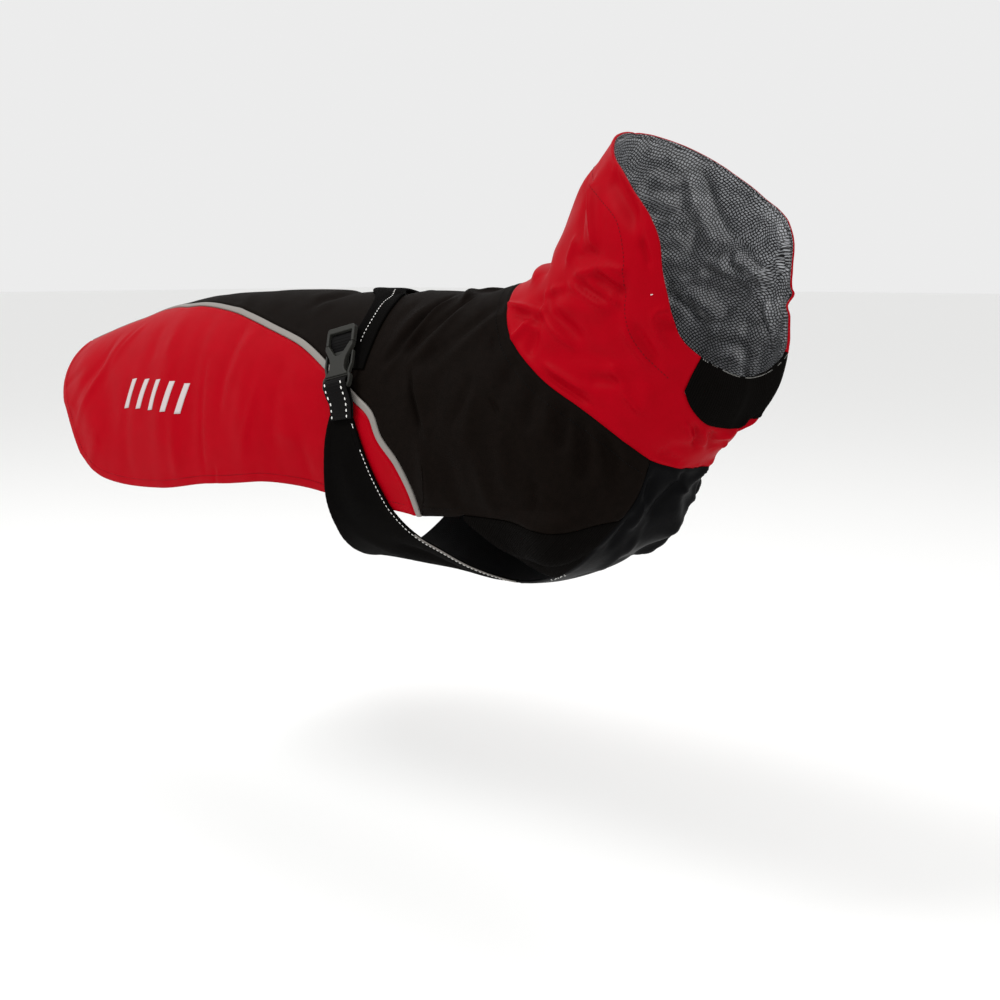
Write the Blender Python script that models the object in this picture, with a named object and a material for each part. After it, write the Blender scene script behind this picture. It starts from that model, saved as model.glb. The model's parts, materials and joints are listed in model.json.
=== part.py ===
"""Dog raincoat, worn form, as closed solids: one named object for each sewn piece.

Row frame in metres: +X towards the dog's head, +Y the dog's left, +Z up.
The origin is the inside of the back at the withers, where the coat rests.
Lengths in the tables are millimetres and angles are degrees round the body,
from 0 on the spine through 90 on the dog's right side to 180 under the chest.
"""
from collections import namedtuple

import bpy
import numpy as np

MM = 0.001
CLOTH_WALL = 1.8
LINING_WALL = 1.0
HALF_SEAM = 0.15
PIPE_HALF = 3.0
PIPE_EDGE = PIPE_HALF + 2 * HALF_SEAM
PIPE_RISE = 0.9
FLAP_OUT = 3.2
BELT_OUT = 2.8
RIB_RISE = 0.7
DEG_MM = 1.7

# One ring of the worn form for each station along the body and neck.
Ring = namedtuple("Ring", "s top_x top_z low_x low_z half widest up low turn lean")
RINGS = [
    Ring(0, -547, -53, -540, -330, 80, 0.42, 0.85, 0.85, 0.00, 0),
    Ring(40, -508, -41, -505, -333, 90, 0.45, 0.92, 0.80, 0.00, 0),
    Ring(90, -460, -29, -458, -335, 97, 0.48, 0.95, 0.80, 0.00, 0),
    Ring(190, -360, -7, -360, -325, 103, 0.50, 0.95, 0.85, 0.00, 0),
    Ring(330, -225, 1, -228, -295, 107, 0.50, 0.92, 0.90, 0.00, 0),
    Ring(460, -100, 1, -120, -239, 105, 0.50, 0.92, 0.92, 0.00, 0),
    Ring(540, -32, 2, 0, -236, 103, 0.50, 0.92, 0.90, 0.00, 0),
    Ring(600, -2, 2, 84, -238, 102, 0.50, 0.92, 0.86, 0.00, 0),
    Ring(650, 14, 2, 150, -211, 101, 0.50, 0.94, 0.76, 0.00, 0),
    Ring(695, 25, 3, 191, -172, 91, 0.50, 0.97, 0.76, 0.00, 0),
    Ring(740, 35, 6, 216, -130, 76, 0.50, 1.00, 0.84, 0.02, 1),
    Ring(770, 62, 13, 235, -108, 75, 0.50, 1.05, 0.74, 0.09, 3),
    Ring(795, 85, 27, 247, -90, 76, 0.50, 1.10, 0.66, 0.15, 6),
    Ring(820, 101, 50, 253, -75, 78, 0.52, 1.10, 0.62, 0.18, 8),
    Ring(850, 121, 80, 257, -55, 79, 0.55, 1.10, 0.60, 0.17, 7),
    Ring(900, 157, 130, 261, -20, 80, 0.60, 1.10, 0.60, 0.15, 5),
    Ring(950, 193, 175, 266, 16, 80, 0.60, 1.10, 0.60, 0.15, 5),
]

# Seams and hems as short lists of stations on the form, right side.
Knot = namedtuple("Knot", "s deg")
PIPE_UPPER = [Knot(0, 13), Knot(70, 9), Knot(130, 9), Knot(165, 13), Knot(192, 18), Knot(225, 20.5),
              Knot(300, 28.5), Knot(360, 38), Knot(434, 51), Knot(474, 60), Knot(509, 71), Knot(531, 80)]
PIPE_LOWER = [Knot(531, 80), Knot(537, 88), Knot(551, 99), Knot(557, 109), Knot(556, 120.5)]
REAR_EDGE = [Knot(0, 13), Knot(0, 44), Knot(10, 58), Knot(36, 71), Knot(76, 87.5)]
RUMP_HEM = [Knot(76, 87.5), Knot(104, 93), Knot(158, 98), Knot(230, 100), Knot(314, 100),
            Knot(392, 105), Knot(447, 112), Knot(500, 118), Knot(556, 120.5)]
BODY_HEM = [Knot(556, 120.5), Knot(575, 118), Knot(602, 116.5)]
GUSSET_TOP = [Knot(602, 116.5), Knot(618, 119), Knot(642, 125), Knot(660, 132), Knot(675, 142),
              Knot(692, 156)]
GUSSET_FREE = [Knot(601, 118.5), Knot(607, 125), Knot(614, 133), Knot(622, 141), Knot(626, 150),
               Knot(625, 161)]
CHEST_UPPER = [Knot(692, 156), Knot(718, 154.5), Knot(741, 150)]
CHEST_LOWER = [Knot(692, 156), Knot(671, 155.5), Knot(650, 157), Knot(625, 161)]
CHEST_STRIP = [Knot(625, 161), Knot(606, 165), Knot(588, 165)]
NECK_SEAM = [Knot(760, 0), Knot(758, 42), Knot(745, 66), Knot(742, 90), Knot(747, 114),
             Knot(745, 132), Knot(741, 150)]
NECK_FRONT = [Knot(741, 150), Knot(741, 180)]
COLLAR_TOP = [Knot(893, 0), Knot(897, 25), Knot(905, 50), Knot(918, 75), Knot(927, 94),
              Knot(923, 107), Knot(908, 115), Knot(893, 124), Knot(868, 139), Knot(861, 154)]
RIB_SIDE = [Knot(861, 154), Knot(838, 150), Knot(819, 148)]
RIB_LOWER = [Knot(819, 148), Knot(804, 154), Knot(791, 165), Knot(785, 180)]
RIB_TOP = [Knot(861, 154), Knot(856, 166), Knot(846, 180)]
FLAP_REAR = [Knot(486, 90), Knot(482, 103), Knot(477, 118), Knot(474, 135), Knot(470, 151),
             Knot(466, 180)]
FLAP_FRONT = [Knot(514, 84), Knot(521, 95), Knot(528, 108), Knot(535, 121), Knot(546, 133),
              Knot(563, 140), Knot(580, 152), Knot(588, 165)]
BELT_REAR = [Knot(443, 0), Knot(447, 19), Knot(461, 47), Knot(483, 71)]
BELT_FRONT = [Knot(481, 0), Knot(488, 19), Knot(501, 47), Knot(509, 71)]

# Soft ridges (height above 0) and troughs (below 0) of the cloth, right side.
Fold = namedtuple("Fold", "s0 deg0 s1 deg1 width height")
FOLDS = [
    Fold(530, 66, 560, 26, 9, 2.6), Fold(548, 70, 584, 34, 8, -2.2), Fold(566, 76, 612, 44, 10, 2.4),
    Fold(586, 84, 640, 56, 9, -2.0), Fold(600, 92, 668, 74, 10, 1.8), Fold(520, 60, 536, 22, 7, -2.0),
    Fold(722, 78, 690, 84, 7, -1.8), Fold(724, 104, 694, 106, 8, 1.8), Fold(726, 124, 700, 128, 7, -1.6),
    Fold(712, 172, 680, 164, 8, -2.0), Fold(700, 186, 664, 176, 8, 2.0),
    Fold(30, 40, 120, 84, 14, 2.4), Fold(70, 36, 150, 78, 12, -2.2), Fold(210, 30, 236, 92, 14, 1.8),
    Fold(262, 34, 290, 92, 13, -1.6), Fold(352, 46, 372, 96, 14, 1.8), Fold(410, 58, 424, 98, 11, -1.6),
    Fold(786, 58, 824, 72, 8, -2.8), Fold(800, 68, 836, 96, 8, 2.6), Fold(776, 84, 806, 112, 9, -2.4),
    Fold(770, 52, 782, 92, 9, 2.2), Fold(884, 50, 850, 68, 9, 2.4), Fold(872, 96, 836, 100, 8, -2.0),
    Fold(758, 152, 770, 178, 7, -2.0), Fold(806, 128, 776, 134, 8, 1.8),
]
# The left side is hidden: like folds, moved along and turned a little.
HIDDEN_SHIFT = 11
HIDDEN_TURN = -4
# The belt and the buckles hold the cloth flat here.
HELD = Knot(480, 54)
HELD_S = 42
HELD_DEG = 34


def smooth(xs, ys, at):
    """Smooth curve through the points (xs, ys), read at the values at."""
    xs, ys, at = (np.asarray(v, float) for v in (xs, ys, at))
    step = np.diff(xs)
    rise = np.diff(ys) / step
    slope = np.empty_like(ys)
    slope[0], slope[-1] = rise[0], rise[-1]
    if len(xs) > 2:
        slope[1:-1] = (step[1:] * rise[:-1] + step[:-1] * rise[1:]) / (step[:-1] + step[1:])
    k = np.clip(np.searchsorted(xs, at, side="right") - 1, 0, len(step) - 1)
    t = (at - xs[k]) / step[k]
    start = (1 + 2 * t) * (1 - t) ** 2 * ys[k] + t * (1 - t) ** 2 * step[k] * slope[k]
    end = t * t * (3 - 2 * t) * ys[k + 1] + t * t * (t - 1) * step[k] * slope[k + 1]
    return start + end


def base_point(s, deg):
    """Point of the plain form at station s and angle deg."""
    stations = [r.s for r in RINGS]
    read = {name: smooth(stations, [getattr(r, name) for r in RINGS], s) for name in Ring._fields[1:]}
    angle = np.radians(deg)
    up = np.maximum(np.cos(angle), 0.0)
    down = np.maximum(-np.cos(angle), 0.0)
    power = np.where(np.cos(angle) > 0, read["up"], read["low"])
    mid_x = read["top_x"] + (read["low_x"] - read["top_x"]) * read["widest"]
    mid_z = read["top_z"] + (read["low_z"] - read["top_z"]) * read["widest"]
    side = np.abs(np.sin(angle)) ** power
    y = read["lean"] - read["half"] * np.sign(np.sin(angle)) * side
    x = mid_x + (read["top_x"] - mid_x) * up + (read["low_x"] - mid_x) * down + read["turn"] * y
    z = mid_z + (read["top_z"] - mid_z) * up + (read["low_z"] - mid_z) * down
    return np.stack([x, y, z], axis=-1)


def across_along(s, deg):
    """Change of the point for one unit of s and for one degree."""
    along = (base_point(s + 1.0, deg) - base_point(s - 1.0, deg)) / 2.0
    across = base_point(s, deg + 0.5) - base_point(s, deg - 0.5)
    return along, across


def normal(s, deg):
    """Unit direction out of the form."""
    along, across = across_along(s, deg)
    out = np.cross(across, along)
    return out / np.linalg.norm(out, axis=-1, keepdims=True)


def fold_height(s, deg):
    """Height of the cloth over the plain form at station s and angle deg."""
    angle = (np.asarray(deg, float) + 180.0) % 360.0 - 180.0
    total = np.zeros(np.broadcast(s, deg).shape)
    for side, shift, turn in ((1.0, 0.0, 0.0), (-1.0, HIDDEN_SHIFT, HIDDEN_TURN)):
        for fold in FOLDS:
            s0, s1 = fold.s0 + shift, fold.s1 + shift
            d0, d1 = side * (fold.deg0 + turn) * DEG_MM, side * (fold.deg1 + turn) * DEG_MM
            ds, dd = s1 - s0, d1 - d0
            off_d = (angle * DEG_MM - d0 + 180 * DEG_MM) % (360 * DEG_MM) - 180 * DEG_MM
            part = np.clip(((s - s0) * ds + off_d * dd) / (ds * ds + dd * dd), 0, 1)
            gap2 = (s - s0 - part * ds) ** 2 + (off_d - part * dd) ** 2
            total = total + fold.height * np.exp(-gap2 / fold.width ** 2) * (1 - (2 * part - 1) ** 4 * 0.7)
    away = np.hypot((s - HELD.s) / HELD_S, (np.abs(angle) - HELD.deg) / HELD_DEG)
    free = np.clip(away - 0.7, 0, 1)
    return total * free * free * (3 - 2 * free)


def cloth_point(s, deg, out):
    """Point of the cloth, out millimetres over its outer face."""
    lift = fold_height(s, deg) + out
    return base_point(s, deg) + normal(s, deg) * np.asarray(lift)[..., None]


def run(knots, count):
    """Evenly spaced stations along the curve through knots."""
    table = np.array(knots, float)
    steps = np.hypot(np.diff(table[:, 0]), np.diff(table[:, 1]) * DEG_MM)
    reach = np.concatenate([[0.0], np.cumsum(steps)])
    at = np.linspace(0, reach[-1], count)
    return np.stack([smooth(reach, table[:, 0], at), smooth(reach, table[:, 1], at)], axis=-1)


def chain(*runs):
    """Runs that follow each other, their shared ends kept once."""
    return np.concatenate([runs[0]] + [r[1:] for r in runs[1:]])


def mirror(line):
    """The same stations on the left side."""
    return line * np.array([1.0, -1.0])


def shift_line(line, inner, amount):
    """Stations moved by amount millimetres square to the line, towards the line inner."""
    s, deg = line[:, 0], line[:, 1]
    along, across = across_along(s, deg)
    step = np.gradient(line, axis=0)
    tangent = along * step[:, :1] + across * step[:, 1:]
    side = np.cross(normal(s, deg), tangent)
    side /= np.maximum(np.linalg.norm(side, axis=1, keepdims=True), 1e-9)
    towards = base_point(inner[:, 0], inner[:, 1]) - base_point(s, deg)
    side *= np.where(np.sum(side * towards, axis=1, keepdims=True) < 0, -1.0, 1.0) * amount
    aa, cc = np.sum(along * along, axis=1), np.sum(across * across, axis=1)
    ac = np.sum(along * across, axis=1)
    pa, pc = np.sum(side * along, axis=1), np.sum(side * across, axis=1)
    det = aa * cc - ac * ac
    return line + np.stack([(pa * cc - pc * ac) / det, (pc * aa - pa * ac) / det], axis=-1)


def patch(left, right, low, top, gaps=(0, 0, 0, 0)):
    """Stations between four sides; gaps moves the left, right, low and top side inwards."""
    u = np.linspace(0, 1, len(low))[None, :, None]
    v = np.linspace(0, 1, len(left))[:, None, None]
    grid = (1 - u) * left[:, None] + u * right[:, None] + (1 - v) * low[None] + v * top[None]
    grid -= (1 - u) * (1 - v) * low[0] + u * (1 - v) * low[-1] + (1 - u) * v * top[0] + u * v * top[-1]
    plain = grid.copy()
    grid[:, 0] += shift_line(plain[:, 0], plain[:, 1], gaps[0]) - plain[:, 0]
    grid[:, -1] += shift_line(plain[:, -1], plain[:, -2], gaps[1]) - plain[:, -1]
    grid[0] += shift_line(plain[0], plain[1], gaps[2]) - plain[0]
    grid[-1] += shift_line(plain[-1], plain[-2], gaps[3]) - plain[-1]
    return grid


def add_object(name, points, faces, colour):
    """One mesh object in metres with a plain material of its own."""
    mesh = bpy.data.meshes.new(name)
    mesh.from_pydata((np.asarray(points) * MM).tolist(), [], faces)
    mesh.validate()
    material = bpy.data.materials.new(name + "_material")
    material.use_nodes = True
    shader = material.node_tree.nodes["Principled BSDF"]
    shader.inputs["Base Color"].default_value = (*colour, 1.0)
    shader.inputs["Roughness"].default_value = 0.7
    mesh.materials.append(material)
    bpy.context.collection.objects.link(bpy.data.objects.new(name, mesh))


def skin_faces(rows, cols, wrap):
    """Triangles of a closed wall: outer face, inner face and the free edges."""
    size = rows * cols
    last = cols if wrap else cols - 1
    faces = []
    for i in range(rows - 1):
        for j in range(last):
            k = (j + 1) % cols
            a, b, c, d = i * cols + j, (i + 1) * cols + j, (i + 1) * cols + k, i * cols + k
            faces += [(a, b, c), (a, c, d)]
            faces += [(size + c, size + b, size + a), (size + d, size + c, size + a)]
    for j in range(last):
        k = (j + 1) % cols
        bottom = (rows - 1) * cols
        faces += [(j, k, size + k), (j, size + k, size + j)]
        faces += [(bottom + k, bottom + j, size + bottom + j), (bottom + k, size + bottom + j, size + bottom + k)]
    if not wrap:
        for i in range(rows - 1):
            a, b = i * cols, (i + 1) * cols
            faces += [(b, a, size + a), (b, size + a, size + b)]
            c, d = a + cols - 1, b + cols - 1
            faces += [(c, d, size + d), (c, size + d, size + c)]
    return faces


def closed_outward(points, faces):
    """Faces turned so that the solid's volume is positive."""
    p = np.asarray(points)
    f = np.asarray(faces)
    volume = np.sum(p[f[:, 0]] * np.cross(p[f[:, 1]], p[f[:, 2]]))
    return [tuple(t[::-1]) for t in faces] if volume < 0 else faces


def add_wall(name, outer, inner, colour, wrap=False):
    """Closed solid between an outer and an inner grid of points."""
    rows, cols = outer.shape[:2]
    points = np.concatenate([outer.reshape(-1, 3), inner.reshape(-1, 3)])
    faces = closed_outward(points, skin_faces(rows, cols, wrap))
    add_object(name, points, faces, colour)


def add_cloth(name, grid, colour, out=0.0, wall=CLOTH_WALL, ribs=0.0, wrap=False):
    """Cloth wall on the stations of grid, its outer face out millimetres over the form."""
    s, deg = grid[..., 0], grid[..., 1]
    lift = np.broadcast_to(np.asarray(out, float), s.shape)
    outer = cloth_point(s, deg, lift + (ribs * (np.arange(s.shape[1]) % 2) if ribs else 0.0))
    add_wall(name, outer, cloth_point(s, deg, lift - wall), colour, wrap)


BLACK = (0.012, 0.010, 0.009)
CHEST_BLACK = (0.016, 0.016, 0.018)
RIB_BLACK = (0.007, 0.007, 0.008)
RED = (0.42, 0.004, 0.010)
GREY = (0.30, 0.29, 0.27)
MESH_GREY = (0.10, 0.10, 0.11)
PLASTIC = (0.030, 0.030, 0.032)

UPPER_ROWS = 20
LOWER_ROWS = 9
GUSSET_ROWS = 8
FORWARD_LEAN = 18
BODY_COLS = 15
FRONT_COLS = 9
FRONT_ROWS = 4
GUSSET_RIBS = 20
RIBS_A_FIELD = 3


def body_pieces():
    """Back and shoulders, rump panels and the piping between them."""
    upper, lower = run(PIPE_UPPER, UPPER_ROWS), run(PIPE_LOWER, LOWER_ROWS)
    pipe = chain(upper, lower)
    count = len(pipe)
    rest = chain(run(BODY_HEM, 5), run(GUSSET_TOP, GUSSET_ROWS), run(CHEST_UPPER, FRONT_ROWS))
    edge = shift_line(rest, rest + np.array([0.0, -8.0]), HALF_SEAM)
    edge = np.concatenate([shift_line(pipe, pipe + np.array([8.0, -6.0]), PIPE_EDGE), edge[1:]])
    crest = edge * np.array([1.0, 0.0])
    tail = np.linspace(0, 1, len(edge) - count + 12)[1:]
    crest[count - 11:, 0] = crest[count - 12, 0] + (NECK_SEAM[0].s - crest[count - 12, 0]) * tail
    low = np.linspace(crest[0], edge[0], BODY_COLS)
    top = run(NECK_SEAM, BODY_COLS)
    top += (edge[-1] - top[-1]) * np.linspace(0, 1, BODY_COLS)[:, None] ** 4
    half = patch(crest, edge, low, top, (0, 0, 0, HALF_SEAM))
    # rows lean forward beside the lower end of the piping
    u, row = np.linspace(0, 1, BODY_COLS)[None], np.arange(len(edge))[:, None]
    near = np.clip(1 - np.abs(row - count + 1) / 11.0, 0, 1)
    half[..., 0] += FORWARD_LEAN * 6.75 * u * u * (1 - u) * near * near * (3 - 2 * near)
    grid = np.concatenate([half[:, :0:-1] * np.array([1.0, -1.0]), half], axis=1)
    add_cloth("body_shell", grid, BLACK)

    side_line = shift_line(pipe, pipe + np.array([-8.0, 6.0]), PIPE_EDGE)
    rear = run(REAR_EDGE, LOWER_ROWS)
    rear += (side_line[0] - rear[0]) * np.linspace(1, 0, LOWER_ROWS)[:, None] ** 2
    hem = run(RUMP_HEM, UPPER_ROWS)
    hem += (side_line[-1] - hem[-1]) * np.linspace(0, 1, UPPER_ROWS)[:, None] ** 4
    rump = patch(side_line[:UPPER_ROWS], hem, rear, side_line[UPPER_ROWS - 1:])
    strip = np.stack([shift_line(pipe, pipe + np.array([-8.0, 6.0]), w)
                      for w in (-PIPE_HALF, -1.0, 1.0, PIPE_HALF)], axis=1)
    rise = np.array([0.3, PIPE_RISE, PIPE_RISE, 0.3])
    for side, mark in (("right", 1.0), ("left", -1.0)):
        turned = np.array([1.0, mark])
        add_cloth("rump_panel_" + side, rump * turned, RED)
        add_cloth("piping_" + side, strip * turned, GREY, out=rise[None, :])


def chest_pieces():
    """Chest panel, rib gussets and belly flap."""
    upper = run(CHEST_UPPER, FRONT_ROWS)[::-1]
    seam = run(CHEST_LOWER, 5)
    right = chain(upper, seam, run(CHEST_STRIP, 3))
    left = right * np.array([1.0, -1.0]) + np.array([0.0, 360.0])
    count = 2 * FRONT_COLS - 1
    across, joint = np.linspace(right[0], left[0], count), np.linspace(right[-1], left[-1], count)
    grid = patch(right, left, across, joint, (HALF_SEAM, HALF_SEAM, HALF_SEAM, HALF_SEAM))
    add_cloth("chest_panel", grid, CHEST_BLACK)

    count = 2 * GUSSET_RIBS + 1
    top, free = run(GUSSET_TOP, count), run(GUSSET_FREE, count)
    start = np.linspace(free[0], top[0], 5)
    end = seam[::-1]
    gusset = patch(start, end, free, top, (0, HALF_SEAM, 0, 2 * HALF_SEAM))
    for side, mark in (("right", 1.0), ("left", -1.0)):
        add_cloth("rib_gusset_" + side, gusset * np.array([1.0, mark]), RIB_BLACK, ribs=RIB_RISE)

    wing_rear, wing_front = run(FLAP_REAR, 22), run(FLAP_FRONT, 14)
    front = chain(wing_front, joint,
                  wing_front[::-1] * np.array([1.0, -1.0]) + np.array([0.0, 360.0]))
    rear = chain(wing_rear, wing_rear[::-1] * np.array([1.0, -1.0]) + np.array([0.0, 360.0]))
    tip = np.linspace(rear[0], front[0], 6)
    far_tip = np.linspace(rear[-1], front[-1], 6)
    flap = patch(rear, front, tip, far_tip, (0, HALF_SEAM, HALF_SEAM, HALF_SEAM))
    away = np.abs(flap[..., 1] - 180.0)
    near_joint = np.clip((588 - flap[..., 0]) / 30.0, 0, 1)
    near_joint = np.maximum(near_joint, np.clip((away - 18.0) / 22.0, 0, 1))
    lift = FLAP_OUT * near_joint * near_joint * (3 - 2 * near_joint)
    add_cloth("belly_flap", flap, BLACK, out=lift)


def collar_pieces():
    """Collar, the rib set into its front and the lining inside it."""
    top = chain(run(COLLAR_TOP, BODY_COLS - 4), run(RIB_SIDE, 4), run(RIB_LOWER, 10))
    low = chain(run(NECK_SEAM, BODY_COLS), run(NECK_FRONT, FRONT_COLS))
    rows = 9
    share = np.linspace(0, 1, rows)[:, None, None]
    half = low[None] * (1 - share) + top[None] * share
    grid = np.concatenate([half, half[:, -2:0:-1] * np.array([1.0, -1.0]) + np.array([0.0, 360.0])], axis=1)
    grid[0] = shift_line(grid[0], grid[1], HALF_SEAM)
    rib = slice(BODY_COLS - 5, 2 * len(top) - BODY_COLS + 4)
    grid[-1, rib] = shift_line(grid[-1, rib], grid[-2, rib], HALF_SEAM)
    add_cloth("collar", grid, RED, wrap=True)

    inside = grid.copy()
    inside[0] = shift_line(grid[0], grid[1], 5.0)
    inside[-1] = shift_line(grid[-1], grid[-2], 4.0)
    add_cloth("collar_lining", inside, MESH_GREY, out=-CLOTH_WALL - 0.9, wall=LINING_WALL, wrap=True)

    turn, back = np.array([1.0, -1.0]), np.array([0.0, 360.0])
    side, bottom, upper = run(RIB_SIDE, 4)[::-1], run(RIB_LOWER, 10), run(RIB_TOP, 10)
    low_line = chain(bottom, bottom[::-1] * turn + back)
    top_line = chain(upper, upper[::-1] * turn + back)
    wide = 2 * HALF_SEAM
    throat = patch(side, side * turn + back, low_line, top_line, (wide, wide, wide, 0))
    s, deg = throat[..., 0], throat[..., 1]
    flat = np.zeros(s.shape)
    outer, inner = cloth_point(s, deg, flat), cloth_point(s, deg, flat - CLOTH_WALL)
    outer, inner, out = (between(g, RIBS_A_FIELD) for g in (outer, inner, normal(s, deg)))
    outer += out * (RIB_RISE * (np.arange(outer.shape[1]) % 2))[None, :, None]
    add_wall("throat_rib", outer, inner, RIB_BLACK)


def between(grid, parts):
    """The same grid with each field across it cut into equal parts."""
    share = (np.arange(parts) / parts)[None, None, :, None]
    fields = grid[:, :-1, None] * (1 - share) + grid[:, 1:, None] * share
    return np.concatenate([fields.reshape(grid.shape[0], -1, 3), grid[:, -1:]], axis=1)


# Buckle outlines: one row across the length; open marks a window in the middle.
Row = namedtuple("Row", "along outer inner open")
SOCKET = [Row(31.0, 13.5, 11.5, False), Row(28.0, 16.0, 11.5, True), Row(20.5, 16.0, 11.5, False),
          Row(16.0, 16.0, 6.0, False), Row(7.0, 12.5, 5.0, False), Row(1.0, 11.5, 5.0, False)]
PLUG = [Row(0.6, 11.0, 5.0, True), Row(-3.5, 12.5, 5.5, False), Row(-10.0, 15.0, 11.0, False),
        Row(-16.0, 16.0, 12.2, False), Row(-20.0, 16.0, 12.2, True), Row(-28.0, 15.5, 12.2, False),
        Row(-31.0, 14.5, 12.2, False)]
PLATE = 5.0


def buckle_frame(mark):
    """Centre and axes (across, along the strap towards the spine, out) of one buckle."""
    centre_s, centre_deg = 490.0, 58.0 * mark
    out = normal(centre_s, centre_deg)
    spine = base_point(470.0, 39.5 * mark) - base_point(498.0, 70.0 * mark)
    spine -= out * np.dot(spine, out)
    spine /= np.linalg.norm(spine)
    across = np.cross(spine, out)
    centre = cloth_point(np.array(centre_s), np.array(centre_deg), np.array(BELT_OUT + 1.2))
    return centre, across, spine, out


def add_plate(name, frame, rows, thick, colour):
    """Flat part with windows, drawn by rows of three fields across."""
    centre, across, spine, out = frame
    points, index = [], {}
    for level in (0.0, thick):
        for r, row in enumerate(rows):
            for c, x in enumerate((-row.outer, -row.inner, row.inner, row.outer)):
                index[level > 0, r, c] = len(points)
                points.append(centre + across * x + spine * row.along + out * level)
    cells = {(r, c) for r in range(len(rows) - 1) for c in range(3) if not (rows[r].open and c == 1)}
    faces = []
    for r, c in sorted(cells):
        corner = [(r, c), (r + 1, c), (r + 1, c + 1), (r, c + 1)]
        low = [index[False, *k] for k in corner]
        high = [index[True, *k] for k in corner]
        faces += [(low[0], low[1], low[2]), (low[0], low[2], low[3])]
        faces += [(high[2], high[1], high[0]), (high[3], high[2], high[0])]
        beside = [(r, c - 1), (r + 1, c), (r, c + 1), (r - 1, c)]
        for k, cell in enumerate(beside):
            if cell not in cells:
                a, b = k, (k + 1) % 4
                faces += [(low[b], low[a], high[a]), (low[b], high[a], high[b])]
    add_object(name, points, closed_outward(points, faces), colour)


def add_strap(name, path, half, thick, colour):
    """Strap along path rows of (centre, across, out); the centre is the middle of its thickness."""
    outer = np.array([[c - a * half + o * thick / 2, c + a * half + o * thick / 2] for c, a, o in path])
    inner = np.array([[c - a * half - o * thick / 2, c + a * half - o * thick / 2] for c, a, o in path])
    add_wall(name, outer, inner, colour)


def hardware():
    """Belt over the back, buckles and webbing on both sides."""
    rear, front = run(BELT_REAR, 14), run(BELT_FRONT, 14)
    left = np.concatenate([mirror(rear)[:0:-1], rear])
    right = np.concatenate([mirror(front)[:0:-1], front])
    grid = patch(left, right, np.linspace(left[0], right[0], 5), np.linspace(left[-1], right[-1], 5))
    add_cloth("back_belt", grid, BLACK, out=BELT_OUT, wall=1.6)
    for side, mark in (("right", 1.0), ("left", -1.0)):
        frame = buckle_frame(mark)
        centre, across, spine, out = frame
        add_plate("buckle_socket_" + side, frame, SOCKET, PLATE, PLASTIC)
        add_plate("buckle_plug_" + side, frame, PLUG, PLATE, PLASTIC)
        # webbing: up from the flap, under the lower bar and back over it
        ends = [(501.5, 92.0, FLAP_OUT + 1.2), (501.2, 87.5, FLAP_OUT + 1.2), (500.8, 83.0, FLAP_OUT + 1.2)]
        path = []
        for s, deg, lift in ends:
            point = cloth_point(np.array(s), np.array(deg * mark), np.array(lift))
            square = normal(s, deg * mark)
            flat = across - square * np.dot(across, square)
            path.append((point, flat / np.linalg.norm(flat), square))
        for y, z, tilt in ((-31.0, -1.2, 0.0), (-27.6, -1.1, 0.0), (-26.2, 0.2, 0.9), (-25.8, 2.5, 1.57),
                           (-26.2, 4.9, 2.3), (-27.6, 6.2, 3.1), (-31.0, 6.3, 3.14), (-37.0, 5.2, 3.14)):
            turned = out * np.cos(tilt) + spine * np.sin(tilt)
            path.append((centre + spine * y + out * z, across, turned))
        add_strap("webbing_" + side, path, 11.8, 1.2, RIB_BLACK)


def clear_scene():
    """Start from an empty scene."""
    for item in list(bpy.data.objects):
        bpy.data.objects.remove(item, do_unlink=True)


clear_scene()
body_pieces()
chest_pieces()
collar_pieces()
hardware()
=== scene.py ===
"""Dog raincoat in its worn form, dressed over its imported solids.

Row frame in metres: +X towards the dog's head, +Y the dog's left, +Z up, with
the origin inside the back at the withers. Tables hold millimetres and degrees
round the body, from 0 on the spine through 90 on the dog's right side to 180
under the chest.
"""
from __future__ import annotations

import json
import logging
import math
from dataclasses import dataclass, field
from enum import Enum
from functools import cache, cached_property
from typing import Callable, Iterable, NamedTuple, Sequence

import bpy
import numpy as np
from mathutils import Matrix, Vector
from mathutils.kdtree import KDTree

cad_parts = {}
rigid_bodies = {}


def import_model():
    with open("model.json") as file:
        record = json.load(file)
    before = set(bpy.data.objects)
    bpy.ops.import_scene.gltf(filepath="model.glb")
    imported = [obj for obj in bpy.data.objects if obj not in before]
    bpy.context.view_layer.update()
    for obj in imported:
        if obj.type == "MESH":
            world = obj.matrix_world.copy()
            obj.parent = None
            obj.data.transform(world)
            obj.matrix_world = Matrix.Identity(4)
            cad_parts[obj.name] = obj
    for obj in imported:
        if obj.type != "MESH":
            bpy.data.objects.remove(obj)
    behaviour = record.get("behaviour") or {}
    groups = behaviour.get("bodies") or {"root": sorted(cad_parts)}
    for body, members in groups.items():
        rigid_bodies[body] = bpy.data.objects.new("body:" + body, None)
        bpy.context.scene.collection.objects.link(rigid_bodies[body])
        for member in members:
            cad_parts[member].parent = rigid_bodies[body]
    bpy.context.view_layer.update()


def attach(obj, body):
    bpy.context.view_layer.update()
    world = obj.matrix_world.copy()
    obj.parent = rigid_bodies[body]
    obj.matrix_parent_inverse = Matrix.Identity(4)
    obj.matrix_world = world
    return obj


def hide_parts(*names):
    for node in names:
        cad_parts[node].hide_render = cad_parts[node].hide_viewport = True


log = logging.getLogger("raincoat")

MM = 0.001
# thickness of the cloth, half the gap at a seam, and half the width of the piping with its gap
WALL = 1.8
HALF_SEAM = 0.15
PIPE_EDGE = 3.0 + 2 * HALF_SEAM
# height of the flap and of the belt over the coat
FLAP_OUT = 3.2
BELT_OUT = 2.8
# millimetres of one degree round the body, about
DEG_MM = 1.7
# what the ribs of a knit take up
RIB_TAKE_UP = 1.1
FLOOR_Z = -0.526
BODY = "root"
SIDES = (("right", 1.0), ("left", -1.0))
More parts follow.
